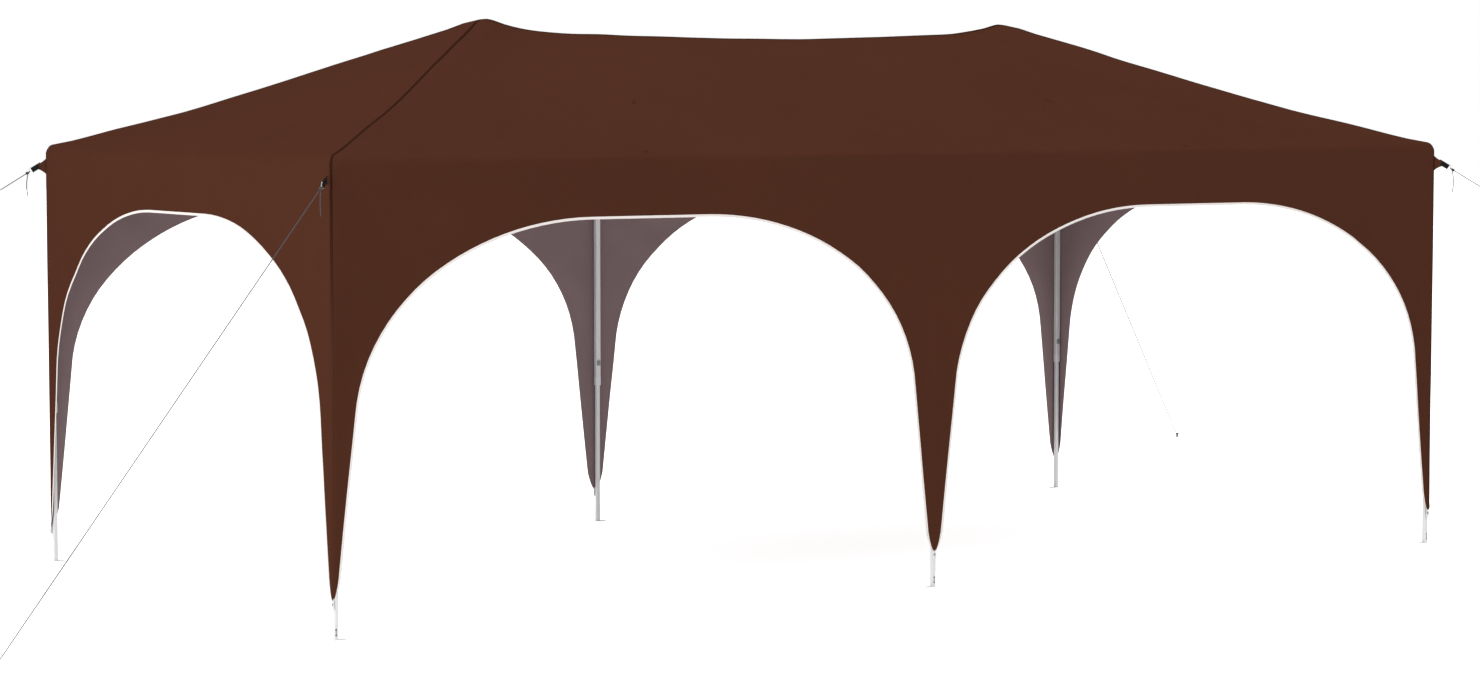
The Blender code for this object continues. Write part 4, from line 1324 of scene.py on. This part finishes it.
bpy.ops.object.select_all(action="DESELECT")
bpy.ops.mesh.primitive_cube_add(size=1.0, location=(0, 0, 0))
GUIDE = bpy.context.active_object
GUIDE.name = "guide_pattern"
GUIDE.scale = GUIDE_SIZE
bpy.ops.object.transform_apply(location=True, rotation=True, scale=True)


def runs_along_y(edge):
    first, second = (GUIDE.data.vertices[k].co for k in edge.vertices)
    return abs((first - second).y) > 0.001


corner_edges = [edge.index for edge in GUIDE.data.edges if runs_along_y(edge)]
pick(GUIDE, "EDGE", lambda edge: edge.index in corner_edges)
bpy.ops.mesh.bevel(offset=0.004, segments=4, affect="EDGES")
bpy.ops.object.mode_set(mode="OBJECT")
pick(GUIDE, "FACE", lambda face: face.normal.y > 0.9)
for inset, push in ((0.0012, 0.0006), (0.0022, -0.0005)):
    bpy.ops.mesh.inset(thickness=inset)
    bpy.ops.mesh.extrude_region_move(TRANSFORM_OT_translate={"value": (0, push, 0)})
bpy.ops.object.mode_set(mode="OBJECT")

SMALL = Matrix.Diagonal((0.5, 0.5, 0.8, 1.0))
for leg in LEGS:
    centre = leg_centre(leg)
    out, _ = leg_sides(leg)
    turn = Matrix.Rotation(math.pi if out.y > 0 else 0.0, 4, "Z")
    place = centre - out * (UPPER_HALF + GUIDE_SIZE[1] / 2) + Vector((0, 0, GUIDE_Z))
    guide = repeat_piece("lock_guide_" + leg, GUIDE, [Matrix.Translation(place) @ turn])
    wear(guide, GREY_NYLON)
    head = Matrix.Translation(centre - out * (UPPER_HALF + LOCK_RIVET_OUT))
    head = head @ turn_to(-out, (0, 0, GUIDE_Z - LOCK_RIVET_DROP))
    wear(repeat_piece("lock_rivet_" + leg, RIVET, [head @ SMALL]), ZINC)
    spot = centre - out * LOWER_HALF + Vector((0, 0, LOCK_Z))
    wear(repeat_piece("lock_button_" + leg, BUTTON, [turn_to(-out, spot)]), ZINC, "leg_" + leg)
print("6 height locks")

# %% [markdown]
# ## Ties inside
#
# Inside, a black hook-and-loop tie holds the cover to the middle of each side truss.

# %% Tie the cover to the trusses
TIE_WIDTH, TIE_THICK, TIE_HALF, TIE_LOW, TIE_HIGH = 0.020, 0.0009, 0.0148, 1.866, 1.904


def tie_path():
    """A loop with round corners round the middle fitting of a truss, across it."""
    radius, corners = 0.004, []
    mid_z, half_z = (TIE_HIGH + TIE_LOW) / 2, (TIE_HIGH - TIE_LOW) / 2
    for cx, cz, first in ((1, 1, 0), (-1, 1, 90), (-1, -1, 180), (1, -1, 270)):
        middle = Vector((cx * (TIE_HALF - radius), mid_z + cz * (half_z - radius)))
        for step in range(5):
            turn = math.radians(first + 22.5 * step)
            corners.append((middle.x + radius * math.cos(turn), middle.y + radius * math.sin(turn),
                            math.cos(turn), math.sin(turn)))
    return corners


for name, start in TRUSSES.items():
    if name == "middle":
        continue
    turn = start.to_3x3()
    stations = [(start @ Vector((HALF, py, pz)), turn @ Vector((1, 0, 0)), turn @ Vector((0, ny, nz)))
                for py, pz, ny, nz in tie_path()]
    tie = sweep("cover_tie_" + name, stations, oval(TIE_WIDTH, TIE_THICK, 2), closed=True)
    wear(tie, WEBBING)
print("6 cover ties")

# %% [markdown]
# ## The guy lines
#
# From the corner out: a tapering tab of canopy cloth, a loop of black webbing, a steel ring, and the
# rope. The tab has a thicker hem just inside its free edges.

# %% Shape the corner tab and the webbing
RING_BOW = 0.0162                      # from the webbing to the far side of the ring
WEB_HALF, WEB_THICK = 0.0021, 0.0012   # half the height of the webbing's loop, and its thickness
WEB_START, WEB_STEP = 0.028, 0.006
BIGHT_R, COIL_R, COIL_LENGTH, COIL_TURNS = 0.0042, 0.0050, 0.0135, 3
TAB_CELLS = 8                          # faces along and across a corner tab


def frame_point(along, lift=0.0, side=0.0):
    """A point near the top of the guy line: along it, above it and beside it."""
    return guy_top + guy_slope * along + guy_lift * lift + guy_across * side


def corner_tab():
    """Four-sided cloth tab with a fold along its free edges, in the rope's plane."""
    tip = guy_top + guy_slope * (TAB_REACH / guy_slope.xy.length)
    rows = []
    for k in range(TAB_CELLS + 1):
        t = k / TAB_CELLS
        row = []
        for j in range(TAB_CELLS + 1):
            s = j / TAB_CELLS
            start = Vector((guy_top.x, guy_top.y, TAB_Z[0] + (TAB_Z[1] - TAB_Z[0]) * s))
            end = tip + Vector((0, 0, WEB_WIDTH * (s - 0.5)))
            waist = 0.0035 * math.sin(math.pi * t) * (1 if s < 0.5 else -1) * abs(2 * s - 1)
            row.append(start.lerp(end, t) + Vector((0, 0, waist)))
        rows.append(row)
    return rows


def half_thick(k, j):
    """Half the thickness of a corner tab: thin at its rim, thick along the hem inside it."""
    if j in (0, TAB_CELLS) or k == TAB_CELLS:
        return 0.0006
    return 0.0017 if j in (1, TAB_CELLS - 1) else 0.0013


def tab_object(name, corner):
    bm = bmesh.new()
    uv = bm.loops.layers.uv.new("cloth")
    rows = [to_corner(row, corner) for row in corner_tab()]
    side = to_corner([guy_across], corner)[0]
    front, back = ([[bm.verts.new(place + side * (sign * half_thick(k, j))) for j, place in enumerate(row)]
                    for k, row in enumerate(rows)] for sign in (-1, 1))
    along, across = ([size * k for k in range(TAB_CELLS + 1)] for size in (0.005, 0.009))
    for layer in (front, back):
        for k in range(TAB_CELLS):
            for j in range(TAB_CELLS):
                grid_face(bm, uv, layer, k, j, along, across)
    for k in range(TAB_CELLS):
        for j in (0, TAB_CELLS):
            bm.faces.new((front[k][j], front[k + 1][j], back[k + 1][j], back[k][j]))
    for j in range(TAB_CELLS):
        for k in (0, TAB_CELLS):
            bm.faces.new((front[k][j], front[k][j + 1], back[k][j + 1], back[k][j]))
    return new_object(name, bm)


def webbing_loop():
    """The webbing from inside the tab, round the ring's bar and back."""
    starts = [WEB_START + WEB_STEP * k for k in range(9)]
    leaving = [(along, WEB_HALF * (0.18 + 0.82 * fade(0.036, 0.052, along))) for along in starts]
    points = [frame_point(along, 0, off) for along, off in leaving]
    for k in range(7):
        angle = math.pi * k / 6
        along = WEB_END - WEB_HALF + WEB_HALF * math.sin(angle)
        points.append(frame_point(along, 0, WEB_HALF * math.cos(angle)))
    return points + [frame_point(along, 0, -off) for along, off in reversed(leaving)]


print("corner tab:", len(corner_tab()), "rows of points")

# %% [markdown]
# ## Ring, knot and rope
#
# The rope goes through the ring, turns back, winds three times round itself and leaves as the free
# tail. On its other end it goes once round the stake.

# %% Make the guy lines
def ring_place(corner):
    """Where the ring sits at a corner: its bar in the webbing, its bow towards the rope."""
    ahead, up = to_corner([guy_slope, guy_lift], corner)
    turn = Matrix((ahead, up, ahead.cross(up))).transposed().to_4x4()
    return Matrix.Translation(to_corner([frame_point(WEB_END - WEB_HALF)], corner)[0]) @ turn


def knot_path():
    """The rope through the ring, back beside itself, three turns round and out below."""
    points = []
    bow = WEB_END - WEB_HALF + RING_BOW
    for k in range(9):
        angle = math.pi * (k / 8) - math.pi / 2
        along = bow - BIGHT_R * math.cos(angle) + 0.0005
        points.append(frame_point(along, 0.0004, BIGHT_R * math.sin(angle)))
    steps = 12 * COIL_TURNS
    for k in range(steps + 1):
        angle = 2 * math.pi * COIL_TURNS * k / steps + math.pi / 2
        along = bow + 0.0045 + COIL_LENGTH * k / steps
        points.append(frame_point(along, COIL_R * math.cos(angle), COIL_R * math.sin(angle)))
    start = tail_route[0]
    last = points[-1]
    points.append(last.lerp(start, 0.45) + guy_slope * 0.0015)
    points.append(start + Vector((0, 0, 0.003)))
    points.append(start - Vector((0, 0, 0.0012)))
    return points


def stake_loop():
    """The taut rope from the ring to the stake, and once round it."""
    points = [frame_point(WEB_END + 0.0160)]
    run = guy_end - points[0]
    points += [points[0] + run * (k / 24) for k in range(1, 24)]
    radius = STAKE_R + ROPE_R + GAP
    for k in range(17):
        angle = 2 * math.pi * k / 16
        turn = Matrix.Rotation(angle, 3, "Z") @ (-guy_out * radius)
        points.append(Vector((stake.x, stake.y, ROPE_END_Z - 0.0045 * k / 16)) + turn)
    return points


for corner in CORNERS:
    side = to_corner([guy_lift], corner)[0]
    tab = wear(tab_object("guy_tab_" + corner, corner), CANOPY)
    stations = along_path(to_corner(webbing_loop(), corner), side)
    webbing = sweep("guy_webbing_" + corner, stations, oval(WEB_WIDTH, WEB_THICK, 2))
    wear(webbing, WEBBING)
    ring = wear(repeat_piece("guy_ring_" + corner, RING, [ring_place(corner)]), ZINC)
    knot_piece = wear(rope("guy_knot_" + corner, to_corner(knot_path(), corner), ROPE_R), ROPE)
    line = wear(rope("guy_rope_" + corner, to_corner(stake_loop(), corner), ROPE_R, 12), ROPE)
    for piece in (tab, webbing, ring, knot_piece, line):
        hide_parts("guy_line_" + corner)
for pattern in (RIVET, SCREW, BUTTON, EYELET, RING, SCREWED, HOLE_SHADE, GUIDE):
    bpy.data.objects.remove(pattern, do_unlink=True)
print("4 guy lines")

# %% [markdown]

# %% [markdown]
# ## The floor and the light
#
# A pale floor and a white sky give the even studio light of the photograph. One wide lamp to the left
# and one above bring out the folds.

# %% Lay the floor and hang the lights
FLOOR_HALF = 60.0
bpy.ops.object.select_all(action="DESELECT")
bpy.ops.mesh.primitive_plane_add(size=2 * FLOOR_HALF, location=(0, 0, 0))
floor = bpy.context.active_object
floor.name = "floor"
pale, tree, shader, spot, _ = start_material("pale_floor", 0.9)
tint = use_group(tree, MOTTLE, Place=spot, Colour=(0.90, 0.90, 0.90, 1.0), Wide=0.4, Narrow=3.0, Amount=0.01)
tree.links.new(tint["Colour"], shader.inputs["Base Color"])
shader.inputs["Emission Color"].default_value = (1.0, 1.0, 1.0, 1.0)
shader.inputs["Emission Strength"].default_value = 0.55
floor.data.materials.append(pale)

world = bpy.data.worlds.new("studio")
world.use_nodes = True
world.node_tree.nodes["Background"].inputs["Color"].default_value = (1.0, 1.0, 1.0, 1.0)
world.node_tree.nodes["Background"].inputs["Strength"].default_value = 1.0
bpy.context.scene.world = world


def soft_lamp(name, place, target, width, power):
    data = bpy.data.lights.new(name, "AREA")
    data.shape, data.size, data.energy = "DISK", width, power
    lamp = bpy.data.objects.new(name, data)
    lamp.location = place
    lamp.rotation_euler = (Vector(target) - Vector(place)).to_track_quat("-Z", "Y").to_euler()
    bpy.context.scene.collection.objects.link(lamp)


soft_lamp("left_key", (-14.0, -4.0, 9.0), (0, 0, 1.5), 7.0, 1500.0)
soft_lamp("top_fill", (2.0, -3.0, 13.0), (0, 0, 1.0), 9.0, 900.0)
bpy.context.scene.view_settings.view_transform = "Standard"
